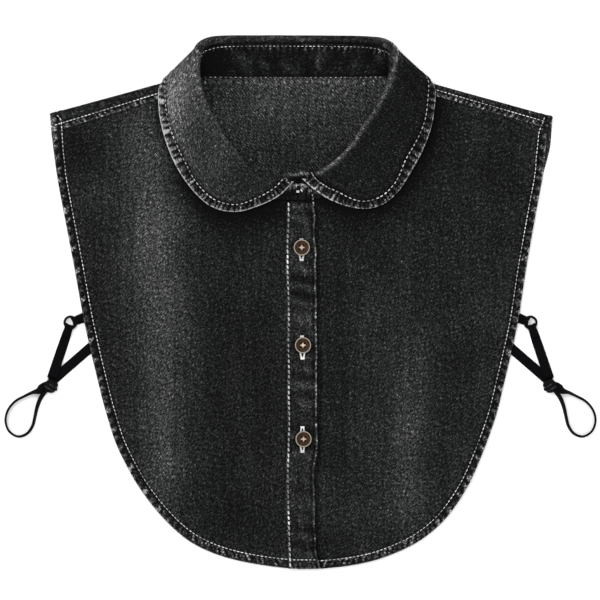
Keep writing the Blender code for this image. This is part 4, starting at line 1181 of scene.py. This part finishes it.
# Lines across the collar, from its neck seam up the stand and over the fall to the edge
def collarLines():
    axis = cloth["collarAxis"]
    table = []
    for row, sign in [(row, -1) for row in collarStations] + [(row, 1) for row in collarStations[-2::-1]]:
        crest, edge = (row[0], row[2]) if sign < 0 else (row[1], row[3])
        seam = neckSeam(row, sign)
        table.append([axis + sign * crest[0], crest[1], row[5], axis + sign * edge[0], edge[1], row[6],
                      axis + sign * seam[0], seam[1], row[7], row[8], radians(row[9])])
    dense = catmull(table, 30)
    run = (lengths(dense[:, :3]) + lengths(dense[:, 3:6])) / 2
    where = betweenEnds(run[-1], np.linspace(2.2, run[-1] - 2.2, collarLook["columns"]))
    dense = atLengths(dense, where, run)
    crest, edge, neck, roll, turn = np.split(dense, (3, 6, 9, 10), axis=1)
    ahead = np.gradient(crest, axis=0)
    out = unit(np.column_stack([-ahead[:, 1], ahead[:, 0], np.zeros(len(ahead))]))
    for k in range(6):
        evened(out)
    up = np.array([[0, 0, 1.0]])
    towardsFall = up * np.cos(turn) + out * np.sin(turn)
    tip = up * np.sin(turn) - out * np.cos(turn)
    centre = crest - tip * (cloth["collarWall"] / 2 + roll)
    before, after = centre - towardsFall * roll, centre + towardsFall * roll
    seam = before - tip * collarLook["seamLead"]
    rise = np.linalg.norm(seam - neck, axis=1, keepdims=True)
    drop = np.linalg.norm(edge - after, axis=1, keepdims=True)
    lying = 1 - tip[:, 2:3]
    upright = seam - tip * collarLook["seamStraight"]
    stand = bezierRows(neck, neck + (upright - neck) * 0.35, upright - tip * rise * 0.25 * lying, upright,
                       np.linspace(0, 1, 24))
    turns = np.linspace(-pi / 2, pi / 2, 15)[None, :, None]
    over = centre[:, None] + tip[:, None] * roll[:, None] * np.cos(turns) \
        + towardsFall[:, None] * roll[:, None] * np.sin(turns)
    handle = drop * 0.25 * lying + roll * 0.8 * (1 - lying)
    fall = bezierRows(after, after - tip * handle, edge + (after - edge) * 0.35, edge, np.linspace(0, 1, 40))
    return (np.concatenate([stand, seam[:, None]], axis=1),
            np.concatenate([seam[:, None], over, fall[:, 1:]], axis=1), where)


def gridNormals(grid):
    normal = unit(np.cross(np.gradient(grid, axis=0), np.gradient(grid, axis=1)))
    for k in range(4):
        evened(normal)
        evened(normal.swapaxes(0, 1))
    return normal


def makeFall(name, fallLines, run):
    grid, fromEdge, fromSeam, ridgeAt = [], [], [], []
    for line in fallLines:
        # the ridge that shows from above runs from the turn's tip to its top, points 8 and 15
        run8, run15 = lengths(line)[[8, 15]]
        ridgeAt.append(run8 + 0.45 * (run15 - run8) + 0.2)
        total = lengths(line)[-1] - 0.15
        scale = min(1.0, total / 27)
        where = rowsAcross(np.array(collarLook["rollRows"]) * scale, np.array(collarLook["edgeRows"]) * scale,
                           total, 18)
        grid.append(atLengths(line, where + 0.15))
        fromSeam.append(where)
        fromEdge.append(total - where)
    grid, fromEdge, fromSeam = np.array(grid), np.array(fromEdge), np.array(fromSeam)
    normals = gridNormals(grid)
    x, y = grid[..., 0], grid[..., 1]
    edgeRun = lengths(grid[:, -1])
    s = np.repeat(edgeRun[:, None], grid.shape[1], axis=1)
    # the ladder is wider along the outer edge than along the bottom
    bottom = smooth((96 - y[:, -1:]) / 10) + 0 * s
    # columns meet the edge at a slant, so the ladder is measured along the edge itself
    tangent = unit(np.gradient(grid[:, -1], axis=0))
    beside = ((grid - grid[:, -1:]) * tangent[:, None]).sum(2) * (1 - smooth((fromEdge - 9) / 5))
    along = s + beside
    stretched = np.cumsum(np.gradient(edgeRun) / (leafHem["pitch"] - 2.1 * bottom[:, 0]))[:, None] + 0 * s
    laddered = stretched * leafHem["pitch"] + beside / (1 - 2.1 * bottom / leafHem["pitch"])
    # the row runs further in at the leaves' outer sides and fronts, more so on the right
    edgeX, edgeY = x[:, -1] - cloth["collarAxis"], y[:, -1]
    onRight, far = smooth(edgeX / 6), np.abs(edgeX)
    outside = smooth((far - 45) / 15)
    deeper = (0.24 + 0.18 * onRight) * bell(edgeY - 98, 18) * outside
    deeper = deeper + 0.2 * smooth((edgeY - 80) / 15) * (1 - smooth((edgeY - 150) / 6)) * outside
    deeper = 1 + deeper + (0.2 + 0.25 * onRight) * smooth((50 - far) / 22) * smooth((110 - edgeY) / 10)
    hemAt = fromEdge / deeper[:, None]
    height, wear = hemShape(hemAt, laddered, 91, changes=leafHem)
    right = smooth((x - 5) / 10)
    wear = wear - 0.4 * bell(hemAt - collarLook["stitchIn"], 0.9)
    wear = wear * (1 + 0.1 * bottom * (1 - right) * (fromEdge < 8))
    # the worn ridge of the turn-down, much stronger on the right
    below = smooth((124 - y) / 20)
    ridge = bell(fromSeam - np.array(ridgeAt)[:, None], 2.3) * smooth(fromEdge / 5)
    wear = wear + ridge * (0.1 + 0.6 * right + 0.1 * right * below) * (
        0.95 + 0.12 * wander(s, 6, 93) + 0.15 * below * wander(s, 2.6, 96))
    # painted shadow: a dark line along the seam where the fall leaves the stand
    wear = wear - 0.4 * bell(fromSeam, 1.3)
    # the right leaf's hem is rubbed more, and its ladder is close where it starts
    hemmed = right * (1 - smooth((hemAt - 5.2) / 1.2)) * smooth(fromEdge / 0.6)
    start = smooth((30 - x) / 8) * smooth((100 - y) / 8)
    rungs = smooth(0.45 + 0.8 * np.sin(2 * pi * along / 3.9 + 0.8 * wander(along, 9, 98)))
    startBand = right * start * (1 - smooth((fromEdge - 7.6) / 1.6)) * smooth(fromEdge / 0.6)
    wear = wear + hemmed * (0.12 + 0.35 * np.clip(wear, 0, 1)) + startBand * 0.6 * rungs
    wear = wear - 0.6 * right * bell(hemAt - 0.35, 0.45)
    behind = smooth((y - 168) / 8) * smooth(fromSeam / 2)
    wear = wear + behind * (0.2 * clouds(s, fromSeam * 2.2, 8, 95) + 0.06 + 0.08 * smooth((x + 36) / 20))
    ends = np.minimum(run, run[-1] - run)[:, None] + 0 * fromEdge
    wear = wear + 0.8 * bell(ends, 0.9) * (0.8 + 0.5 * wander(fromEdge, 2.6, 97)) * (ends < 4)
    soft = 0.16 * clouds(s, fromEdge, 38, 94) * smooth((fromEdge - 8) / 6) * smooth((fromSeam - 4) / 6)
    top, below = cloth["collarWall"] / 2 - 0.2, cloth["collarWall"] / 2 - 0.1
    gap = np.minimum(np.minimum(fromEdge, fromSeam), ends)
    # The right leaf is painted darker: partly its own fade, partly painted shade for the side turned from the
    # light
    fall = gridShell(name, grid, normals, gridFaces(*x.shape), gap, 0.95, top + (height + soft), below,
                     collarDenim, np.stack([fromEdge, s], axis=2), wear,
                     fadeAt(x, y, collarFadesAndShade) - 0.165 * right, collarLook["underWear"])
    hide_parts("collar_fall")
    spots, ups = [], []
    for i, line in enumerate(grid):
        stitchIn = collarLook["stitchIn"] * deeper[i]
        if fromEdge[i, 0] > stitchIn + 1.2:
            where = [fromEdge[i, 0] - stitchIn]
            spots.append(atLengths(line, where, fromSeam[i])[0])
            ups.append(atLengths(normals[i], where, fromSeam[i])[0])
    spots, ups = np.array(spots), unit(np.array(ups))
    stitchLines[name + "Edge"] = (spots + ups * (cloth["collarWall"] / 2 + 0.1), ups, collarLook["stitch"])
    return fall


standLook = {"stitchIn": 1.9, "rows": (0, 0.2, 0.5, 0.95, 1.5, 2.2, 3.0), "topRow": 168,
             "stitch": {"pitch": 2.9, "length": 2.0, "width": 0.5, "shade": 0.15}}
# Lines up the stand's two ends, which cross at the front: x from the axis, y and z at the seam and the top
standStart = [(9.6, 73.3, 4.0, 83.6, 4.4), (3.0, 73.2, 4.0, 85.8, 4.5), (-3.0, 73.4, 4.0, 84.9, 5.2)]
standFinish = [(10.6, 73.7, 4.0, 86.4, 5.6)]


def makeStand(name, standLines):
    t = np.linspace(0, 1, standLines.shape[1])[:, None]

    def upLine(out, seamY, seamZ, topY, topZ):
        a = np.array([cloth["collarAxis"] + out, seamY, seamZ])
        return a + (np.array([a[0], topY, topZ]) - a) * t

    rightEnd = cloth["collarAxis"] + standFinish[0][0] + 1
    kept = [line for line in standLines if line[-1, 0] < 0 or line[-1, 0] > rightEnd]
    whole = np.array([upLine(*row) for row in standStart] + kept + [upLine(*row) for row in standFinish])
    # even columns, with close ones at both ends
    run = lengths(whole[:, 12])
    where = betweenEnds(run[-1], np.arange(2.2, run[-1] - 2.2, 1.1))
    whole = atLengths(whole.reshape(len(whole), -1), where, run).reshape(len(where), -1, 3)
    grid, fromTop, fromNeck = [], [], []
    for line in whole:
        total = lengths(line)[-1] - 0.15
        near = np.array(standLook["rows"]) * min(1.0, total / 9)
        rows = rowsAcross(near, near, total, 10)
        grid.append(atLengths(line, rows))
        fromTop.append(total - rows)
        fromNeck.append(rows)
    grid, fromTop, fromNeck = np.array(grid), np.array(fromTop), np.array(fromNeck)
    normals = gridNormals(grid)
    x, y = grid[..., 0], grid[..., 1]
    s = np.repeat(lengths(grid[:, 10])[:, None], grid.shape[1], axis=1)
    ropes = np.sin(2 * pi * s / 4.4 + 1.6 * wander(s, 19, 101)) * (0.6 + 0.4 * wander(s, 27, 102))
    topBand, groove = bell(fromTop - 3.4, 1.7), bell(fromTop - standLook["stitchIn"], 0.6)
    height = 0.22 * ropes * topBand - 0.15 * groove
    ends = np.minimum(where, where[-1] - where)[:, None] + 0 * fromTop
    # painted shadow: darker along the stand's lower edge at the neck seam
    wear = (1.15 * ropes * topBand - 0.3 * groove - 0.35 * bell(fromNeck, 1.6) + 0.15 * bell(ends, 0.8)
            + 0.22 * clouds(s, fromTop * 0.35, 11, 103) + 0.12 * clouds(s, fromTop * 0.5, 4.5, 104))
    # the left end that shows between the leaves is worn along its top
    frontEnd = smooth((95 - y) / 8) * smooth((6.4 - x) / 3)
    wear = wear + frontEnd * (bell(fromTop - 1.1, 2.0) * (1.1 + 0.5 * wander(s, 2.4, 105)) + 0.3 * ropes
                              + 0.35 * bell(fromNeck, 1.6))
    gap = np.minimum(np.minimum(fromTop, fromNeck), ends)
    below = cloth["standWall"] / 2
    # The whole stand is painted darker: painted shade inside the neck
    stand = gridShell(name, grid, normals, gridFaces(*x.shape), gap, 0.8, below - 0.1 + height, below,
                      denim, np.stack([s, fromNeck], axis=2), wear, fadeAt(x, y, standFadesAndShade) - 0.15)
    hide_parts("collar_stand")
    pick = [i for i in range(len(grid)) if y[i, -1] > standLook["topRow"]]
    spots = np.array([atLengths(grid[i, ::-1], [standLook["stitchIn"]], fromTop[i][::-1])[0] for i in pick])
    ups = unit(np.array([normals[i, -4] for i in pick]))
    stitchLines[name + "Top"] = (spots + ups * (cloth["standWall"] / 2 + 0.02), ups, standLook["stitch"])
    return stand


standLines, fallLines, collarRun = collarLines()
fall = makeFall("collarFall", fallLines, collarRun)
stand = makeStand("collarStand", standLines)
print("collar made")

# The row that holds the stand down on the back panel
seamStitch = {"pitch": 3.6, "length": 1.6, "width": 0.62, "shade": 0.12, "reach": 64, "drop": 1.9}
seamRow = resample(catmull(backNeck(10), 6), 1.0)
seamRow = seamRow[np.abs(seamRow[:, 0] + 3) < seamStitch["reach"]] - np.array([0, seamStitch["drop"]])
spots, ups = mapped(foldedBack, seamRow)
stitchLines["standSeam"] = (spots + ups * (cloth["thick"] / 2 + 0.12), ups, seamStitch)
# The stand's end: a row along its top and one down its outer end
standEndRows = {
    "standEndTop": (0.16, [(-6.0, 83.2, 5.9), (-2.6, 84.1, 5.7), (1.0, 84.0, 5.4), (4.6, 82.8, 5.3),
                           (6.2, 81.6, 5.2)]),
    "standEndSide": (0.24, [(7.2, 81.6, 5.3), (8.0, 79.2, 5.3), (8.7, 76.4, 5.2), (9.0, 74.2, 5.0),
                            (7.4, 72.4, 4.9)])}
for name, (shade, route) in standEndRows.items():
    stitchLines[name] = (catmull(route, 8), None, {"width": 0.7, "length": 2.3, "shade": shade})
# The right leaf's row starts over the roll, and its last stitch stands out over the rolled edge
leafStart = {"route": [(21.4, 81.2), (18.6, 83.0), (15.8, 84.7), (12.9, 86.7), (10.9, 88.6), (9.1, 90.9),
                       (7.6, 93.9)],
             "from": 19.6, "lowest": 8.4, "stitch": {"pitch": 2.5, "width": 0.7, "lead": 0.3, "shade": 0.2}}
spots, ups, changes = stitchLines["collarFallEdge"]
kept = (spots[:, 0] < 0) | (spots[:, 0] > leafStart["from"])
stitchLines["collarFallEdge"] = (pressed(spots[kept], ups[kept], fall, 0.22), ups[kept], changes)
spots, ups = draped(resample(catmull(leafStart["route"], 6), 0.8), [fall, stand, back], 0.1)
spots[:, 2] = np.maximum(spots[:, 2], leafStart["lowest"])
stitchLines["collarFallStart"] = (spots, ups, {**changes, **leafStart["stitch"]})


# One stitch is a short bow of thread whose ends dip into the cloth.
def stitchShape(sides=6, rings=6):
    points, faces = [[-1.0, 0.0, 0.0]], []
    for v in np.linspace(-1, 1, rings)[1:-1]:
        thick = (1 - abs(v) ** 2.6) ** 0.5
        points += [[v, cos(a) * thick, sin(a) * thick] for a in ringPoints(sides)]
    points.append([1.0, 0.0, 0.0])
    last = len(points) - 1
    for k in range(sides):
        faces.append((0, 1 + (k + 1) % sides, 1 + k))
        for r in range(rings - 3):
            a, b = 1 + r * sides, 1 + (r + 1) * sides
            faces.append((a + k, a + (k + 1) % sides, b + (k + 1) % sides, b + k))
        faces.append((last - sides + k, last - sides + (k + 1) % sides, last))
    return np.array(points), faces


def sew(name, spots, ups, look, rng):
    shape, shapeFaces = stitchShape()
    ups = np.tile([0.0, 0.0, 1.0], (len(spots), 1)) if ups is None else ups
    run = lengths(spots)
    where = np.arange(look["pitch"] * look["lead"], run[-1] - look["pitch"] * 0.3, look["pitch"])
    where = where + rng.normal(0, 0.12, len(where))
    half = look["length"] / 2
    points, faces, shades = [], [], []
    for at in where:
        middle, before, after = atLengths(spots, [at, at - half, at + half], run)
        along = unit(after - before)
        up = unit(atLengths(ups, [at], run)[0])
        side = unit(np.cross(up, along)) + along * rng.normal(0, 0.05)
        along = unit(along + side * look["slope"])
        size = half * rng.uniform(0.88, 1.1), look["width"] / 2 * rng.uniform(0.85, 1.15), look["height"] / 2
        scaled = shape * np.array(size)
        bow = 0.16 * (1 - shape[:, 0] ** 2) - 0.1
        base = len(points) * len(shape)
        raised = (scaled[:, 2] + bow)[:, None] * up
        points.append(middle + scaled[:, 0:1] * along + scaled[:, 1:2] * side + raised)
        faces += [tuple(base + i for i in face) for face in shapeFaces]
        shades.append(np.full(len(shape), look["shade"] + rng.uniform(-0.04, 0.08)))
    return addMesh(name, np.vstack(points), faces, thread, values={"shade": np.concatenate(shades)})


rng = np.random.default_rng(5)
for name, (spots, ups, changes) in stitchLines.items():
    sew(name + "Stitches", spots, ups, {**stitchLook, **changes}, rng)
print("stitches made")


# Round threads along the lines, in one piece
def tubes(name, lines, radius, material, sides=8):
    points, faces = [], []
    for line in lines:
        along = unit(np.gradient(line, axis=0))
        side = unit(np.cross(along, np.array([0.03, 0.02, 1.0])))
        over = np.cross(side, along)
        faces += ringFaces(len(line), sides, len(points))
        for spot, a, b in zip(line, side, over):
            points += [spot + (a * cos(v) + b * sin(v)) * radius for v in ringPoints(sides)]
    return addMesh(name, np.array(points), faces, material)


buttonLook = {"around": 64, "holeAt": 2.1, "holeRadius": 0.62, "holeSides": 20, "holeFloor": 0.35,
              "dish": 1.72, "reach": (2.0, 1.75), "strands": (-0.66, -0.33, 0, 0.33, 0.66), "thread": 0.26}
buttonProfile = [(0.01, 0.0), (3.6, 0.0), (4.6, 0.3), (5.3, 0.75), (5.68, 1.2), (5.86, 1.65), (5.88, 2.0),
                 (5.8, 2.35), (5.62, 2.58), (5.35, 2.66), (5.12, 2.58), (4.92, 2.35), (4.76, 2.05),
                 (4.5, 1.88), (3.8, 1.8), (2.6, 1.74), (1.2, 1.7), (0.01, 1.7)]


# Cuts the four thread holes, which are closed at the bottom
def cutHoles(button):
    holes, faces = [], []
    sides = buttonLook["holeSides"]
    for turn in (pi / 4, 3 * pi / 4, 5 * pi / 4, 7 * pi / 4):
        faces += ringFaces(2, sides, len(holes))
        holes += [((buttonLook["holeAt"] * cos(turn) + buttonLook["holeRadius"] * cos(a)) * mm,
                   (buttonLook["holeAt"] * sin(turn) + buttonLook["holeRadius"] * sin(a)) * mm, z * mm)
                  for z in (buttonLook["holeFloor"], 4) for a in ringPoints(sides)]
    cutter = bpy.data.meshes.new("holes")
    cutter.from_pydata(holes, [], faces)
    cutterObject = linked(bpy.data.objects.new("holes", cutter))
    cutterObject.location = button.location
    button.modifiers.new("holes", "BOOLEAN").object = cutterObject
    bpy.context.view_layer.update()
    solved = button.evaluated_get(bpy.context.evaluated_depsgraph_get())
    button.data = bpy.data.meshes.new_from_object(solved)
    button.modifiers.clear()
    button.data.set_sharp_from_angle(angle=radians(40))
    bpy.data.objects.remove(cutterObject)


def makeButton(name, place, node):
    around = buttonLook["around"]
    base = placketTop(*[np.array(v) for v in place]) + cloth["placketWall"] / 2 + cloth["gap"] + 0.1
    profile = catmull(buttonProfile, 2)
    points = np.array([[r * cos(a), r * sin(a), z] for r, z in profile for a in ringPoints(around)])
    radius, high = np.repeat(profile[:, 0], around), np.repeat(profile[:, 1], around)
    rimTone = smooth((radius - 4.98) / 0.2) * (1 - 0.85 * smooth((radius - 5.6) / 0.2))
    rimTone = rimTone * smooth((high - 1.3) / 0.5)
    button = addMesh(name, points, ringFaces(len(profile), around), horn,
                     values={"rim": rimTone})
    button.location = Vector((*place, float(base))) * mm
    cutHoles(button)
    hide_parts(node)
    # two bundles of thread cross in the middle, thick there and thin at their ends
    lines = []
    t = np.linspace(-1, 1, 15)[:, None]
    middle = np.array([*place, float(base) + buttonLook["dish"]])
    for k, far in enumerate(buttonLook["reach"]):
        turn = pi / 2 * k
        for shift in buttonLook["strands"]:
            line = middle + np.array([cos(turn), sin(turn), 0]) * far * t \
                + np.array([-sin(turn), cos(turn), 0]) * shift * (1 - np.abs(t))
            line[:, 2] += (0.55 + 0.1 * k - abs(shift) * 0.25) * (1 - np.abs(t[:, 0]) ** 2.5) - 0.22
            lines.append(line)
    tubes(name + "Thread", lines, buttonLook["thread"], buttonThread)


# Buttonholes: a satin lip on both sides of a slit, spread by the button's shank, and a bar tack at each end.
# Offsets from the button's middle: x at the bottom, x at the top, lower end, upper end.
buttonholes = [(-0.1, -0.2, -9.4, 6.3), (-0.3, -0.7, -10.1, 6.7), (-0.8, -0.8, -9.6, 9.0)]
lip = {"step": 0.4, "width": 0.96, "endGap": 0.5, "spread": 1.3, "tack": 1.4, "tackStep": 0.38,
       "thread": 0.23, "sides": 6}


def makeButtonhole(name, place, hole, rng):
    lowX, highX, low, high = hole
    top = cloth["placketWall"] / 2
    lines = []
    for y in np.arange(low + 0.9, high - 0.9, lip["step"]):
        share = (y - low) / (high - low)
        middle = place[0] + lowX + (highX - lowX) * share
        gap = lip["endGap"] + lip["spread"] * sin(pi * share)
        for side in (-1, 1):
            x = middle + side * (gap + np.linspace(-0.5, 0.5, 6) * lip["width"])
            yy = place[1] + y + rng.normal(0, 0.04) + np.linspace(0, 0.16, 6) * side
            z = placketTop(x, yy) + top - 0.1 + 0.3 * np.sin(np.linspace(0.15, pi - 0.1, 6))
            lines.append(np.stack([x, yy, z], axis=1))
    for shift, end in ((lowX, low), (highX, high)):
        for k in range(4):
            inward = lip["tackStep"] * k * (1 if end < 0 else -1)
            x = place[0] + shift + np.linspace(-1, 1, 8) * (lip["tack"] + rng.normal(0, 0.06))
            yy = np.full(8, place[1] + end + inward) + rng.normal(0, 0.05)
            z = placketTop(x, yy) + top + 0.05 + 0.26 * np.sin(np.linspace(0.1, pi - 0.1, 8))
            lines.append(np.stack([x, yy, z], axis=1))
    tubes(name, lines, lip["thread"], buttonholeThread, lip["sides"])


# The visible end of the stand's buttonhole: two short bar tacks, one of them leaning.
# Each has its middle, its lean and half its width.
standHole = {"tacks": ((-1.9, 79.5, 0.0, 1.0), (0.75, 80.5, -0.75, 0.8)), "height": 5.35, "step": 0.36,
             "thread": 0.22}
lines = []
t = np.linspace(-1, 1, 6)
for x, y, lean, wide in standHole["tacks"]:
    for k in range(4):
        lines.append(np.stack([x + wide * t * cos(lean),
                               y - 0.55 + standHole["step"] * k * cos(lean) + wide * t * sin(lean),
                               standHole["height"] + 0.25 * (1 - t ** 2)], axis=1))
tubes("standButtonhole", lines, standHole["thread"], buttonholeThread, lip["sides"])

for number, (place, hole) in enumerate(zip(buttonPlaces, buttonholes), 1):
    makeButton("button" + str(number), place, "button_" + str(number))
    makeButtonhole("buttonhole" + str(number), place, hole, rng)
print("buttons made")
